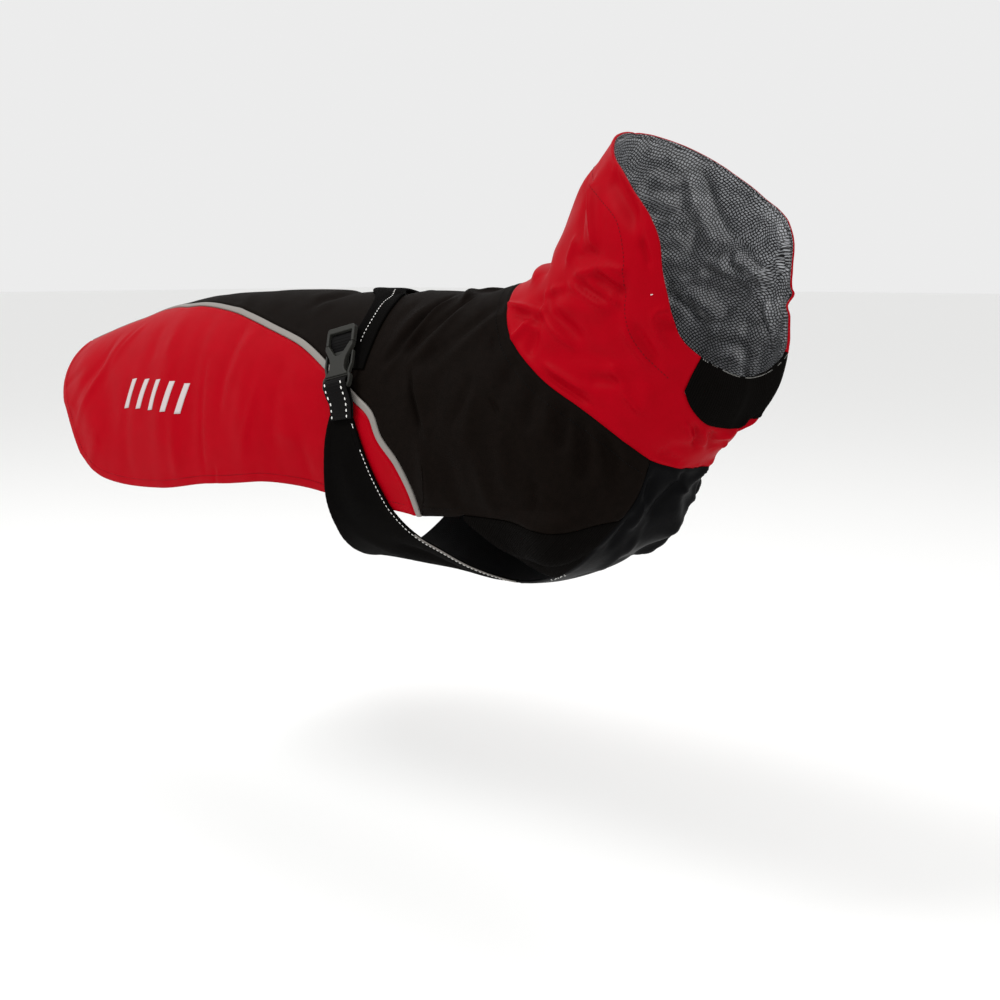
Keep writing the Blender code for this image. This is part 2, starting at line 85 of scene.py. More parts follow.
# steps in s and deg that say to which side of a line something moves
TO_BLACK, TO_RED = (8.0, -6.0), (-8.0, 6.0)
UP, DOWN, REARWARDS = (0.0, -8.0), (0.0, 8.0), (-8.0, 0.0)
INTO_FLAP, INTO_RUMP = (-9.0, 2.0), (6.0, -6.0)

Array = np.ndarray
Line = Callable[[Array], Array]


class Ring(NamedTuple):
    """One ring of the worn form at a station along the body and neck."""

    s: float
    top_x: float
    top_z: float
    low_x: float
    low_z: float
    half: float
    widest: float
    up: float
    low: float
    turn: float = 0.0
    lean: float = 0.0


RINGS = (
    Ring(0, -547, -53, -540, -330, 80, 0.42, 0.85, 0.85),
    Ring(40, -508, -41, -505, -333, 90, 0.45, 0.92, 0.80),
    Ring(90, -460, -29, -458, -335, 97, 0.48, 0.95, 0.80),
    Ring(190, -360, -7, -360, -325, 103, 0.50, 0.95, 0.85),
    Ring(330, -225, 1, -228, -295, 107, 0.50, 0.92, 0.90),
    Ring(460, -100, 1, -120, -239, 105, 0.50, 0.92, 0.92),
    Ring(540, -32, 2, 0, -236, 103, 0.50, 0.92, 0.90),
    Ring(600, -2, 2, 84, -238, 102, 0.50, 0.92, 0.86),
    Ring(650, 14, 2, 150, -211, 101, 0.50, 0.94, 0.76),
    Ring(695, 25, 3, 191, -172, 91, 0.50, 0.97, 0.76),
    Ring(740, 35, 6, 216, -130, 76, 0.50, 1.00, 0.84, 0.02, 1),
    Ring(770, 62, 13, 235, -108, 75, 0.50, 1.05, 0.74, 0.09, 3),
    Ring(795, 85, 27, 247, -90, 76, 0.50, 1.10, 0.66, 0.15, 6),
    Ring(820, 101, 50, 253, -75, 78, 0.52, 1.10, 0.62, 0.18, 8),
    Ring(850, 121, 80, 257, -55, 79, 0.55, 1.10, 0.60, 0.17, 7),
    Ring(900, 157, 130, 261, -20, 80, 0.60, 1.10, 0.60, 0.15, 5),
    Ring(950, 193, 175, 266, 16, 80, 0.60, 1.10, 0.60, 0.15, 5),
)

Knots = tuple[tuple[float, float], ...]
PIPE_UPPER: Knots = ((0, 13), (70, 9), (130, 9), (165, 13), (192, 18), (225, 20.5), (300, 28.5),
                     (360, 38), (434, 51), (475, 62), (510, 74), (529, 81))
PIPE_LOWER: Knots = ((529, 81), (536, 89), (551, 99), (557, 109), (556, 120.5))
REAR_EDGE: Knots = ((0, 13), (0, 44), (10, 58), (36, 71), (76, 87.5))
RUMP_HEM: Knots = ((76, 87.5), (104, 93), (158, 98), (230, 100), (314, 100), (392, 105),
                   (447, 112), (500, 118), (556, 120.5))
BODY_HEM: Knots = ((556, 120.5), (575, 118), (602, 116.5))
GUSSET_TOP: Knots = ((602, 116.5), (618, 119), (642, 125), (660, 132), (675, 142), (692, 156))
GUSSET_FREE: Knots = ((601, 118.5), (607, 125), (614, 133), (622, 141), (626, 150), (625, 161))
CHEST_UPPER: Knots = ((692, 156), (718, 154.5), (741, 150))
CHEST_LOWER: Knots = ((692, 156), (671, 155.5), (650, 157), (625, 161))
CHEST_STRIP: Knots = ((625, 161), (606, 165), (588, 165))
NECK_SEAM: Knots = ((760, 0), (758, 42), (745, 66), (742, 90), (747, 114), (745, 132), (741, 150))
NECK_FRONT: Knots = ((741, 150), (741, 180))
COLLAR_TOP: Knots = ((893, 0), (897, 25), (905, 50), (918, 75), (927, 94), (923, 107), (908, 115),
                     (893, 124), (868, 139), (861, 154))
RIB_SIDE: Knots = ((861, 154), (838, 150), (819, 148))
RIB_LOWER: Knots = ((819, 148), (804, 154), (791, 165), (785, 180))
RIB_TOP: Knots = ((861, 154), (856, 166), (846, 180))
# the flap's tips reach on under the webbing, to the same width as it has
FLAP_REAR: Knots = ((489.5, 82), (486, 90), (482, 103), (477, 118), (474, 135), (470, 151), (466, 180))
FLAP_FRONT: Knots = ((511, 80.5), (514, 84), (521, 95), (528, 108), (535, 121), (546, 133), (563, 140),
                     (580, 152), (588, 165))
BELT_REAR: Knots = ((440, 0), (442, 4), (450, 9), (464, 14), (482, 26), (489, 36), (491, 48), (492, 62))
BELT_FRONT: Knots = ((478, 0), (481, 3), (490, 7), (499, 13), (509, 25), (514, 37), (516, 48), (515, 62))
BELT_STITCHES: Knots = ((478, 8), (484, 12), (495, 26), (500, 36), (502, 49))
COLLAR_FACING: Knots = ((872, 0), (875, 30), (884, 60), (892, 79), (863, 98), (844, 106), (830, 122),
                        (824, 137))


class Crease(NamedTuple):
    """A soft ridge (height above 0) or trough (below 0) between two stations."""

    s0: float
    deg0: float
    s1: float
    deg1: float
    width: float
    height: float
    bow: float = 0.0
    crisp: float = 0.0


# The same large folds as the solids have.
MAIN_FOLDS = tuple(Crease(*row) for row in (
    (530, 66, 560, 26, 9, 2.6), (548, 70, 584, 34, 8, -2.2), (566, 76, 612, 44, 10, 2.4),
    (586, 84, 640, 56, 9, -2), (600, 92, 668, 74, 10, 1.8), (520, 60, 536, 22, 7, -2),
    (722, 78, 690, 84, 7, -1.8), (724, 104, 694, 106, 8, 1.8), (726, 124, 700, 128, 7, -1.6),
    (712, 172, 680, 164, 8, -2), (700, 186, 664, 176, 8, 2), (30, 40, 120, 84, 14, 2.4),
    (70, 36, 150, 78, 12, -2.2), (210, 30, 236, 92, 14, 1.8), (262, 34, 290, 92, 13, -1.6),
    (352, 46, 372, 96, 14, 1.8), (410, 58, 424, 98, 11, -1.6), (786, 58, 824, 72, 8, -2.8),
    (800, 68, 836, 96, 8, 2.6), (776, 84, 806, 112, 9, -2.4), (770, 52, 782, 92, 9, 2.2),
    (884, 50, 850, 68, 9, 2.4), (872, 96, 836, 100, 8, -2), (758, 152, 770, 178, 7, -2),
    (806, 128, 776, 134, 8, 1.8),
))
# Smaller creases, given one by one.
FINE_FOLDS = tuple(Crease(*row) for row in (
    # back: pulled up from the end of the piping towards the withers
    (518, 70, 580, 14, 5, -2.4, -8.4, 0.4), (526, 66, 596, 18, 6, 1.8, -8, 0.2),
    (532, 60, 655, 18, 5, -1.9, -2, 0.4), (560, 62, 655, 30, 7, 1.6, -3, 0.2),
    (568, 62, 748, 40, 5, -1.5, 6, 0.4), (608, 62, 752, 48, 6, 1.3, 3, 0.2), (600, 4, 644, 18, 9, 2.2),
    (575, 62, 585, 84, 4, -2.4, 1, 0.6), (586, 66, 596, 88, 6, 1.3, 1, 0.2),
    (672, 69, 622, 84, 4.5, -1.7, 2, 0.5), (668, 76, 630, 92, 6, 1.2, 2, 0.2),
    (682, 82, 683, 88, 3, -1.4, 0, 0.5), (675, 94, 650, 112, 7, 1.4), (585, 87, 570, 112, 8, 1.4, 3),
    (612, 92, 604, 114, 8, -1.2, -2), (640, 96, 628, 118, 7, 1.1), (675, 116, 660, 125, 3.5, -1.8, 0, 0.5),
    (430, 30, 380, 12, 9, 1.4), (420, 44, 350, 26, 8, -1.4, 3), (308, 29, 276, 10, 9, 1.3),
    # hollows over the spine beside the belt
    (392, -22, 412, 12, 8, -3.2), (472, -24, 488, 8, 7, -4),
    # pleats under the neck seam
    (735, 58, 716, 64, 4, -1.4, 0, 0.5), (736, 76, 712, 80, 4, -1.2, 0, 0.4),
    (734, 90, 695, 99, 4, -1.7, 1.5, 0.5), (736, 98, 706, 106, 5, 1.5, 0, 0.2),
    (736, 105, 708, 115, 4, -2.2, 1.5, 0.6), (738, 110, 704, 121, 5, 1.7, 0, 0.2),
    (736, 114, 696, 129, 4.5, -2.3, 2.5, 0.5), (740, 120, 706, 136, 5, 1.6, 0, 0.2),
    (740, 122, 710, 142, 4.5, -2, 3, 0.5), (740, 134, 718, 146, 5, 1.4),
    # rump
    (115, 31, 65, 76, 5.5, 2, 6, 0.5), (96, 32, 50, 68, 6, -1.7, 6, 0.2), (102, 40, 88, 60, 4, 1.2, 0, 0.5),
    (134, 28, 112, 48, 5, 1.3, 0, 0.3), (328, 38, 328, 74, 7, -1.8, -3, 0.3), (346, 42, 338, 68, 9, 1.5),
    (432, 60, 480, 80, 5, 1.8, -2, 0.5), (424, 66, 462, 86, 7, -1.2, -2),
    (418, 86, 458, 94, 6, 1.2, 0, 0.3), (290, 54, 308, 96, 4, -1.3, 0, 0.6), (180, 34, 192, 54, 9, -1.3),
    (120, 80, 98, 91, 7, 1.3), (455, 90, 465, 110, 6, -1.5, 0, 0.3), (250, 68, 262, 97, 9, 1.5),
    (160, 58, 172, 94, 10, -1.3), (215, 40, 240, 62, 8, 1.2), (18, 56, 56, 50, 4, -1.5, 1, 0.4),
    (20, 64, 62, 70, 4, 1.3, 0, 0.4), (384, 66, 372, 92, 7, 1.2, 2), (324, 94, 322, 102, 1.6, -0.9),
    # collar
    (882, 49, 860, 75, 4, 2.2, 2, 0.6), (872, 44, 850, 66, 6, -1.6), (900, 58, 912, 88, 9, -3.2),
    (825, 71, 840, 97, 3.5, 2, 0, 0.7), (834, 72, 856, 82, 3.5, 2, 0, 0.7),
    (856, 80, 866, 97, 3.2, 2, 0, 0.7), (838, 79, 851, 101, 3, 1.7, 0, 0.7),
    (860, 82, 876, 94, 3, 1.6, 0, 0.7), (832, 76, 846, 94, 4.5, -2), (848, 80, 860, 98, 4.5, -1.8),
    (844, 66, 862, 78, 5, -1.6), (758, 41, 789, 66, 3.5, 2.1, 1, 0.7), (764, 52, 784, 70, 5, -1.8),
    (802, 58, 789, 68, 3.5, 1.9, 0, 0.7), (790, 66, 788, 90, 4, 2, -1.5, 0.6), (797, 70, 800, 92, 6, -1.6),
    (779, 63, 743, 67, 3.5, 1.9, 0, 0.6), (774, 70, 750, 78, 5, -1.5), (805, 61, 820, 70, 3.5, 1.8, 0, 0.6),
    (868, 119, 886, 129, 3.5, 1.6, 1.5, 0.6), (867, 118, 852, 132, 3.5, 1.6, -1.5, 0.6),
    (864, 124, 876, 134, 5, -1.5), (748, 90, 756, 112, 3.5, -1.4, 0, 0.4),
    (756, 86, 766, 108, 4, 1.4, 0, 0.4), (784, 121, 778, 131, 3, 1.3, 0, 0.5),
    (775, 104, 792, 118, 6, -1.6), (800, 108, 786, 122, 5, 1.4, 0, 0.3), (850, 58, 832, 63, 4, 1.7, 0, 0.5),
    (908, 93, 899, 106, 5, -1.5), (800, 8, 806, 44, 6, -2.8), (786, 6, 792, 40, 6.5, 2),
    (822, 12, 874, 34, 14, 2), (838, 106, 824, 126, 5, 1.5, 0, 0.4), (846, 110, 832, 130, 6, -1.4),
    # gathers under the rib in the collar's front
    (788, 154, 772, 164, 3, 1.5, 0, 0.4), (786, 160, 764, 170, 3.2, -1.5),
    (785, 166, 766, 175, 3, 1.5, 0, 0.4), (784, 172, 762, 180, 3.2, -1.5),
    (783, 179, 762, 186, 3, 1.5, 0, 0.4), (752, 150, 746, 166, 5, -1.4),
    # chest, and the bulge over the upper legs
    (724, 176, 672, 183, 5, 2, 3, 0.5), (716, 168, 676, 172, 5, -1.8, 2, 0.3),
    (712, 160, 686, 165, 4, 1.7, 0, 0.5), (700, 159, 668, 163, 4, -1.7, 0, 0.4),
    (736, 168, 710, 190, 4, 1.7, 0, 0.5), (728, 190, 700, 194, 4, -1.6, 0, 0.4),
    (690, 194, 652, 190, 4, 1.6, 0, 0.5), (668, 170, 636, 176, 4, 1.5, 0, 0.5),
    (656, 180, 622, 174, 4, -1.5, 0, 0.4), (730, 156, 706, 162, 4, -1.6), (668, 128, 644, 148, 22, 9),
    # belly flap
    (500, 96, 508, 122, 8, 1.2), (488, 104, 492, 132, 8, -1.1), (520, 140, 562, 162, 7, -1.6, 2),
    (490, 136, 520, 158, 8, 1.3),
))


def smooth_curve(xs: Sequence[float], ys: Sequence[float], at: Array) -> Array:
    """Smooth curve through points.

    Args:
        xs: rising positions of the points.
        ys: values at the points.
        at: positions to read.

    Returns:
        The curve's values at the positions.
    """
    xs, ys, at = (np.asarray(v, float) for v in (xs, ys, at))
    step = np.diff(xs)
    rise = np.diff(ys) / step
    slope = np.empty_like(ys)
    slope[0], slope[-1] = rise[0], rise[-1]
    if len(xs) > 2:
        slope[1:-1] = (step[1:] * rise[:-1] + step[:-1] * rise[1:]) / (step[:-1] + step[1:])
    k = np.clip(np.searchsorted(xs, at, side="right") - 1, 0, len(step) - 1)
    t = (at - xs[k]) / step[k]
    start = (1 + 2 * t) * (1 - t) ** 2 * ys[k] + t * (1 - t) ** 2 * step[k] * slope[k]
    end = t * t * (3 - 2 * t) * ys[k + 1] + t * t * (t - 1) * step[k] * slope[k + 1]
    return start + end


def ease(t: Array) -> Array:
    """Smooth step from 0 to 1, held outside that range."""
    t = np.clip(t, 0.0, 1.0)
    return t * t * (3 - 2 * t)


class LatticeNoise:
    """Smooth repeatable noise from -1 to 1 in space."""

    SIZE = 32

    def __init__(self, seed: int) -> None:
        """Fill the lattice from one seed."""
        self.grid = np.random.RandomState(seed).uniform(-1, 1, (self.SIZE,) * 3)

    def at(self, points: Array) -> Array:
        """Noise at points whose unit is one lattice cell.

        Args:
            points: positions, the last axis of length three.

        Returns:
            One value for each point.
        """
        cell = np.floor(points).astype(int)
        t = points - cell
        t = ease(t)
        total = np.zeros(points.shape[:-1])
        for corner in np.ndindex(2, 2, 2):
            share = np.ones(points.shape[:-1])
            for axis, bit in enumerate(corner):
                share = share * (t[..., axis] if bit else 1 - t[..., axis])
            index = (cell + np.array(corner)) % self.SIZE
            total += share * self.grid[index[..., 0], index[..., 1], index[..., 2]]
        return total


@dataclass
class WornForm:
    """The smooth form that the worn cloth follows."""

    rings: tuple[Ring, ...] = RINGS
    main: tuple[Crease, ...] = MAIN_FOLDS
    fine: tuple[Crease, ...] = FINE_FOLDS
    crumple: LatticeNoise = field(default_factory=lambda: LatticeNoise(11))
    soft_mm: tuple[float, float, float] = (46.0, 60.0, 52.0)
    small_mm: tuple[float, float, float] = (19.0, 24.0, 17.0)
    # the left side's folds lie shifted in s and turned in deg against the right side's
    hidden_shift: float = 11.0
    hidden_turn: float = -4.0
    # station under each buckle where the cloth is held flat, how far that reaches, and its flat share
    held_at: tuple[float, float] = (480.0, 54.0)
    held_reach: tuple[float, float] = (42.0, 34.0)
    held_flat: float = 0.7
    # stations where the folds get deeper towards the neck and the front, with the way to full depth
    neck_from: float = 735.0
    neck_way: float = 40.0
    front_from: float = 505.0
    front_way: float = 30.0
    front_depth: float = 1.1

    def point(self, s: Array, deg: Array) -> Array:
        """Point of the plain form, in millimetres.

        Args:
            s: stations along the body.
            deg: angles round it.

        Returns:
            The points, the last axis of length three.
        """
        s, deg = np.broadcast_arrays(np.asarray(s, float), np.asarray(deg, float))
        stations = [r.s for r in self.rings]
        read = {name: smooth_curve(stations, [getattr(r, name) for r in self.rings], s)
                for name in Ring._fields[1:]}
        angle = np.radians(deg)
        up = np.maximum(np.cos(angle), 0.0)
        down = np.maximum(-np.cos(angle), 0.0)
        power = np.where(np.cos(angle) > 0, read["up"], read["low"])
        mid_x = read["top_x"] + (read["low_x"] - read["top_x"]) * read["widest"]
        mid_z = read["top_z"] + (read["low_z"] - read["top_z"]) * read["widest"]
        side = np.abs(np.sin(angle)) ** power
        y = read["lean"] - read["half"] * np.sign(np.sin(angle)) * side
        x = mid_x + (read["top_x"] - mid_x) * up + (read["low_x"] - mid_x) * down + read["turn"] * y
        z = mid_z + (read["top_z"] - mid_z) * up + (read["low_z"] - mid_z) * down
        return np.stack([x, y, z], axis=-1)

    def tangents(self, s: Array, deg: Array) -> tuple[Array, Array]:
        """Change of the point for one unit of s and for one degree."""
        along = (self.point(s + 1.0, deg) - self.point(s - 1.0, deg)) / 2.0
        return along, self.point(s, deg + 0.5) - self.point(s, deg - 0.5)

    def normal(self, s: Array, deg: Array) -> Array:
        """Unit direction out of the form."""
        along, across = self.tangents(np.asarray(s, float), np.asarray(deg, float))
        out = np.cross(across, along)
        return out / np.linalg.norm(out, axis=-1, keepdims=True)

    def crease_sum(self, creases: Iterable[Crease], s: Array, deg: Array) -> Array:
        """Height of ridges and troughs on both sides of the coat.

        Args:
            creases: the folds of the right side; the left side has like ones.
            s: stations along the body.
            deg: angles round it.

        Returns:
            Millimetres over the plain form.
        """
        angle = (np.asarray(deg, float) + 180.0) % 360.0 - 180.0
        half_turn = 180 * DEG_MM
        total = np.zeros(np.broadcast(s, deg).shape)
        for side, shift, turn in ((1.0, 0.0, 0.0), (-1.0, self.hidden_shift, self.hidden_turn)):
            for c in creases:
                start, deg_start = c.s0 + shift, side * (c.deg0 + turn) * DEG_MM
                ds, dd = c.s1 + shift - start, side * (c.deg1 + turn) * DEG_MM - deg_start
                length = math.hypot(ds, dd)
                off = (angle * DEG_MM - deg_start + half_turn) % (2 * half_turn) - half_turn
                raw = ((s - start) * ds + off * dd) / (length * length)
                part = np.clip(raw, 0, 1)
                beyond = (raw - part) * length
                # the middle line bows sideways, and the ends run out lower than the middle
                cross = ((s - start) * dd - off * ds) / length - c.bow * 4 * part * (1 - part)
                gap2 = (cross * cross + beyond * beyond) / c.width ** 2
                gap = np.sqrt(gap2)
                shape = np.exp(-gap2 / (1 - c.crisp + c.crisp * gap))
                total = total + c.height * shape * (1 - (2 * part - 1) ** 4 * 0.7)
        return total

    def fold_height(self, s: Array, deg: Array) -> Array:
        """Height of all folds, flat where the belt and the buckles hold the cloth.

        Args:
            s: stations along the body.
            deg: angles round it.

        Returns:
            Millimetres over the plain form.
        """
        angle = (np.asarray(deg, float) + 180.0) % 360.0 - 180.0
        away = np.hypot((s - self.held_at[0]) / self.held_reach[0],
                        (np.abs(angle) - self.held_at[1]) / self.held_reach[1])
        free = ease(away - self.held_flat)
        points = self.point(s, deg)
        soft = self.crumple.at(points / np.array(self.soft_mm))
        # the small crumples read the same noise elsewhere
        small = self.crumple.at(points[..., ::-1] / np.array(self.small_mm) + 7.3)
        neck = ease((s - self.neck_from) / self.neck_way)
        front = ease((s - self.front_from) / self.front_way)
        noise = (0.9 + 0.5 * neck) * soft + (0.22 + 0.5 * neck) * small
        fine = self.crease_sum(self.fine, s, deg) * (1.0 + self.front_depth * front)
        return (self.crease_sum(self.main, s, deg) + fine + noise) * free

    def cloth(self, s: Array, deg: Array, out: Array | float) -> Array:
        """Point of the cloth's outer face, out millimetres over it."""
        lift = self.fold_height(s, deg) + out
        return self.point(s, deg) + self.normal(s, deg) * np.asarray(lift)[..., None]


FORM = WornForm()


def through(knots: Sequence[tuple[float, float]]) -> Line:
    """Line through knots.

    Args:
        knots: stations (s, deg).

    Returns:
        A function from shares of the line's length to stations.
    """
    table = np.array(knots, float)
    steps = np.hypot(np.diff(table[:, 0]), np.diff(table[:, 1]) * DEG_MM)
    reach = np.concatenate([[0.0], np.cumsum(steps)])

    def line(share: Array) -> Array:
        """Stations at shares of the length."""
        at = np.asarray(share, float) * reach[-1]
        return np.stack([smooth_curve(reach, column, at) for column in table.T], axis=-1)

    return line


def joined(parts: Sequence[tuple[Line, int]]) -> Line:
    """Lines that follow each other.

    Args:
        parts: each line with the fields that it counts for.

    Returns:
        A function from fields, counted from the start, to stations.
    """
    ends = np.cumsum([0] + [n for _, n in parts])

    def line(t: Array) -> Array:
        """Stations at positions counted in fields."""
        t = np.asarray(t, float)
        k = np.clip(np.searchsorted(ends, t, side="right") - 1, 0, len(parts) - 1)
        out = np.empty(t.shape + (2,))
        for i, (part, n) in enumerate(parts):
            here = k == i
            out[here] = part((t[here] - ends[i]) / n)
        return out

    return line


def split_at(knots: Sequence[tuple[float, float]], index: int) -> tuple[Line, Line]:
    """One smooth line through knots, in two parts that meet at one of them.

    Args:
        knots: stations (s, deg).
        index: the knot where the parts meet.

    Returns:
        The part before it and the part after it.
    """
    table = np.array(knots, float)
    reach = np.cumsum(np.hypot(np.diff(table[:, 0]), np.diff(table[:, 1]) * DEG_MM))
    whole, cut = through(knots), reach[index - 1] / reach[-1]
    return (lambda share: whole(np.asarray(share) * cut),
            lambda share: whole(cut + np.asarray(share) * (1 - cut)))


def backwards(line: Line) -> Line:
    """The same line from its other end."""
    return lambda share: line(1 - np.asarray(share, float))


def mirrored(stations: Array, whole_turn: bool = False) -> Array:
    """The same stations on the left side, counted on past 180 degrees if asked."""
    out = stations * np.array([1.0, -1.0])
    return out + np.array([0.0, 360.0]) if whole_turn else out


def right_to_left(line: Line, t: Array) -> Array:
    """A right half's line from its start (0) to the middle (1), and its mirror back to the start (2)."""
    near, far = line(np.clip(t, 0, 1)), mirrored(line(np.clip(2 - t, 0, 1)), True)
    return np.where((t <= 1)[:, None], near, far)


def moved_in(line: Array, inner: Array, amount: Array | float) -> Array:
    """Stations moved square to their line.

    Args:
        line: stations of the line.
        inner: stations on the side to move to.
        amount: millimetres to move.

    Returns:
        The moved stations.
    """
    s, deg = line[:, 0], line[:, 1]
    along, across = FORM.tangents(s, deg)
    step = np.gradient(line, axis=0)
    tangent = along * step[:, :1] + across * step[:, 1:]
    side = np.cross(FORM.normal(s, deg), tangent)
    side /= np.maximum(np.linalg.norm(side, axis=1, keepdims=True), 1e-9)
    towards = FORM.point(inner[:, 0], inner[:, 1]) - FORM.point(s, deg)
    sign = np.where(np.sum(side * towards, axis=1, keepdims=True) < 0, -1.0, 1.0)
    side = side * sign * np.reshape(amount, (-1, 1))
    aa, cc = np.sum(along * along, axis=1), np.sum(across * across, axis=1)
    ac = np.sum(along * across, axis=1)
    pa, pc = np.sum(side * along, axis=1), np.sum(side * across, axis=1)
    det = aa * cc - ac * ac
    return line + np.stack([(pa * cc - pc * ac) / det, (pc * aa - pa * ac) / det], axis=-1)


def shifted(line: Array, step: tuple[float, float], amount: Array | float) -> Array:
    """Stations moved square to their line, to the side that a step in s and deg points to."""
    return moved_in(line, line + np.array(step), amount)


def patch(left: Array, right: Array, low: Array, top: Array, u: Array, v: Array) -> Array:
    """Stations between four sides.

    Args:
        left: stations at u = 0, one for each v.
        right: stations at u = 1.
        low: stations at v = 0, one for each u.
        top: stations at v = 1.
        u: shares across.
        v: shares along.

    Returns:
        A grid of stations, rows along v.
    """
    u, v = u[None, :, None], v[:, None, None]
    grid = (1 - u) * left[:, None] + u * right[:, None] + (1 - v) * low[None] + v * top[None]
    grid -= (1 - u) * (1 - v) * low[0] + u * (1 - v) * low[-1] + (1 - u) * v * top[0] + u * v * top[-1]
    return grid


def ruled(left: Array, right: Array, u: Array, v: Array) -> Array:
    """Stations between two sides, with straight ends."""
    low, top = (left[end] + (right[end] - left[end]) * u[:, None] for end in (0, -1))
    return patch(left, right, low, top, u, v)


def shares(length: float, pitch: float, fine_start: bool = True, fine_end: bool = True) -> Array:
    """Shares of a length, closer together at finished edges.

    Args:
        length: millimetres from edge to edge.
        pitch: millimetres between the shares in the middle.
        fine_start: whether the start is a finished edge.
        fine_end: whether the end is one.

    Returns:
        Rising shares from 0 to 1.
    """
    close = [0.5, 1.3, 2.4, 3.8, 5.4, 6.8, 7.6, 8.4, 9.2, 10.6]
    start = [c for c in close if c < length * 0.4] if fine_start else []
    end = [length - c for c in close if c < length * 0.4][::-1] if fine_end else []
    first, last = (start or [0.0])[-1], (end or [length])[0]
    count = max(2, int(round((last - first) / pitch)))
    middle = np.linspace(first, last, count + 1)
    steps = np.concatenate([[0.0], start[:-1] if start else [], middle, end[1:] if end else [], [length]])
    return np.unique(np.round(steps / length, 7))


class EdgeKind(Enum):
    """How an edge of a piece is finished."""

    HEM = "turned in and topstitched"
    SEAM = "sewn to the next piece"
    FACED = "turned over a facing"
    RAW = "plain fold"


@dataclass(frozen=True)
class EdgeFinish:
    """Relief beside one edge: the turned cloth and the pull of its stitches."""

    kind: EdgeKind
    width: float = 8.0
    pucker: float = 0.25
    reach: float = 9.0
    wave: float = 9.0
    seed: int = 3

    def relief(self, gap: Array, arc: Array) -> Array:
        """Height beside the edge.

        Args:
            gap: millimetres from the edge.
            arc: millimetres along the edge.

        Returns:
            Millimetres to add to the outer face.
        """
        noise = LatticeNoise(self.seed)
        line = np.stack([arc / self.wave, arc / 57.0, np.full_like(arc, 0.5)], axis=-1)
        pull = noise.at(line) * self.pucker
        if self.kind is EdgeKind.SEAM:
            valley = -0.75 * np.exp(-(gap / 1.3) ** 2) + 0.3 * np.exp(-((gap - 3.2) / 1.8) ** 2)
            return valley + pull * np.exp(-(gap / self.reach) ** 2)
        rim = -0.55 * np.clip(1 - gap / 1.1, 0, 1) ** 2
        if self.kind is EdgeKind.RAW:
            return rim + pull * np.exp(-(gap / self.reach) ** 2)
        turned = 0.45 * (1 - ease((gap - self.width + 0.4) / 1.6))
        groove = -0.38 * np.exp(-((gap - self.width + 1.0) / 0.8) ** 2)
        return rim + turned + groove + pull * np.exp(-((gap - self.width + 1.0) / self.reach) ** 2)


class MeasuredEdge:
    """An edge on the form with a quick way to measure from it."""

    STEP = 0.6

    def __init__(self, stations: Array) -> None:
        """Sample the edge closely and index it.

        Args:
            stations: the edge's stations, in order.
        """
        points = FORM.point(stations[:, 0], stations[:, 1])
        arc = run_of(points)
        self.arc = np.arange(0.0, arc[-1] + self.STEP, self.STEP)
        self.points = np.stack([np.interp(self.arc, arc, points[:, i]) for i in range(3)], axis=-1)
        self.tree = KDTree(len(self.points))
        for i, p in enumerate(self.points):
            self.tree.insert(p, i)
        self.tree.balance()

    def measure(self, points: Array) -> tuple[Array, Array]:
        """Distance from the edge and place along it for each point.

        Args:
            points: places in millimetres, the last axis of length three.

        Returns:
            Millimetres from the edge and millimetres along it.
        """
        flat = points.reshape(-1, 3)
        found = [self.tree.find(p)[1:] for p in flat]
        gap = np.array([f[1] for f in found]).reshape(points.shape[:-1])
        arc = self.arc[np.array([f[0] for f in found])].reshape(points.shape[:-1])
        return gap, arc


PIPE_PARTS = split_at(PIPE_UPPER + PIPE_LOWER[1:], len(PIPE_UPPER) - 1)


# ---------------------------------------------------------------- finishes


def linear(hex_colour: str) -> tuple[float, float, float, float]:
    """Linear RGBA of an sRGB hex colour such as #A30013."""
    parts = [int(hex_colour[i:i + 2], 16) / 255 for i in (1, 3, 5)]
    done = [p / 12.92 if p <= 0.04045 else ((p + 0.055) / 1.055) ** 2.4 for p in parts]
    return (*done, 1.0)


def add_node(tree: bpy.types.NodeTree, kind: str, links: dict | None = None, **settings) -> bpy.types.Node:
    """Add a node.

    Args:
        tree: the node tree.
        kind: the node's type name.
        links: for each input, by name or number, a value or an output socket.
        settings: properties of the node.

    Returns:
        The node.
    """
    node = tree.nodes.new(kind)
    for name, value in settings.items():
        setattr(node, name, value)
    for key, value in (links or {}).items():
        if isinstance(value, bpy.types.NodeSocket):
            tree.links.new(value, node.inputs[key])
        else:
            node.inputs[key].default_value = value
    return node


def new_material(name: str, roughness: float, specular: float) -> tuple[bpy.types.Material, bpy.types.Node]:
    """A material and its shader, with the shader's gloss set.

    Args:
        name: the material's name.
        roughness: from 0, a mirror, to 1.
        specular: strength of the reflection.

    Returns:
        The material and its shader node.
    """
    material = bpy.data.materials.new(name)
    material.use_nodes = True
    shader = material.node_tree.nodes["Principled BSDF"]
    shader.inputs["Roughness"].default_value = roughness
    shader.inputs["Specular IOR Level"].default_value = specular
    return material, shader


class Weave(Enum):
    """Patterns that a cloth finish can carry."""

    NONE = "smooth"
    PLAIN = "plain weave"
    KNIT = "knit columns"
    NET = "open net over a backing"
    CORD = "ribs across webbing"


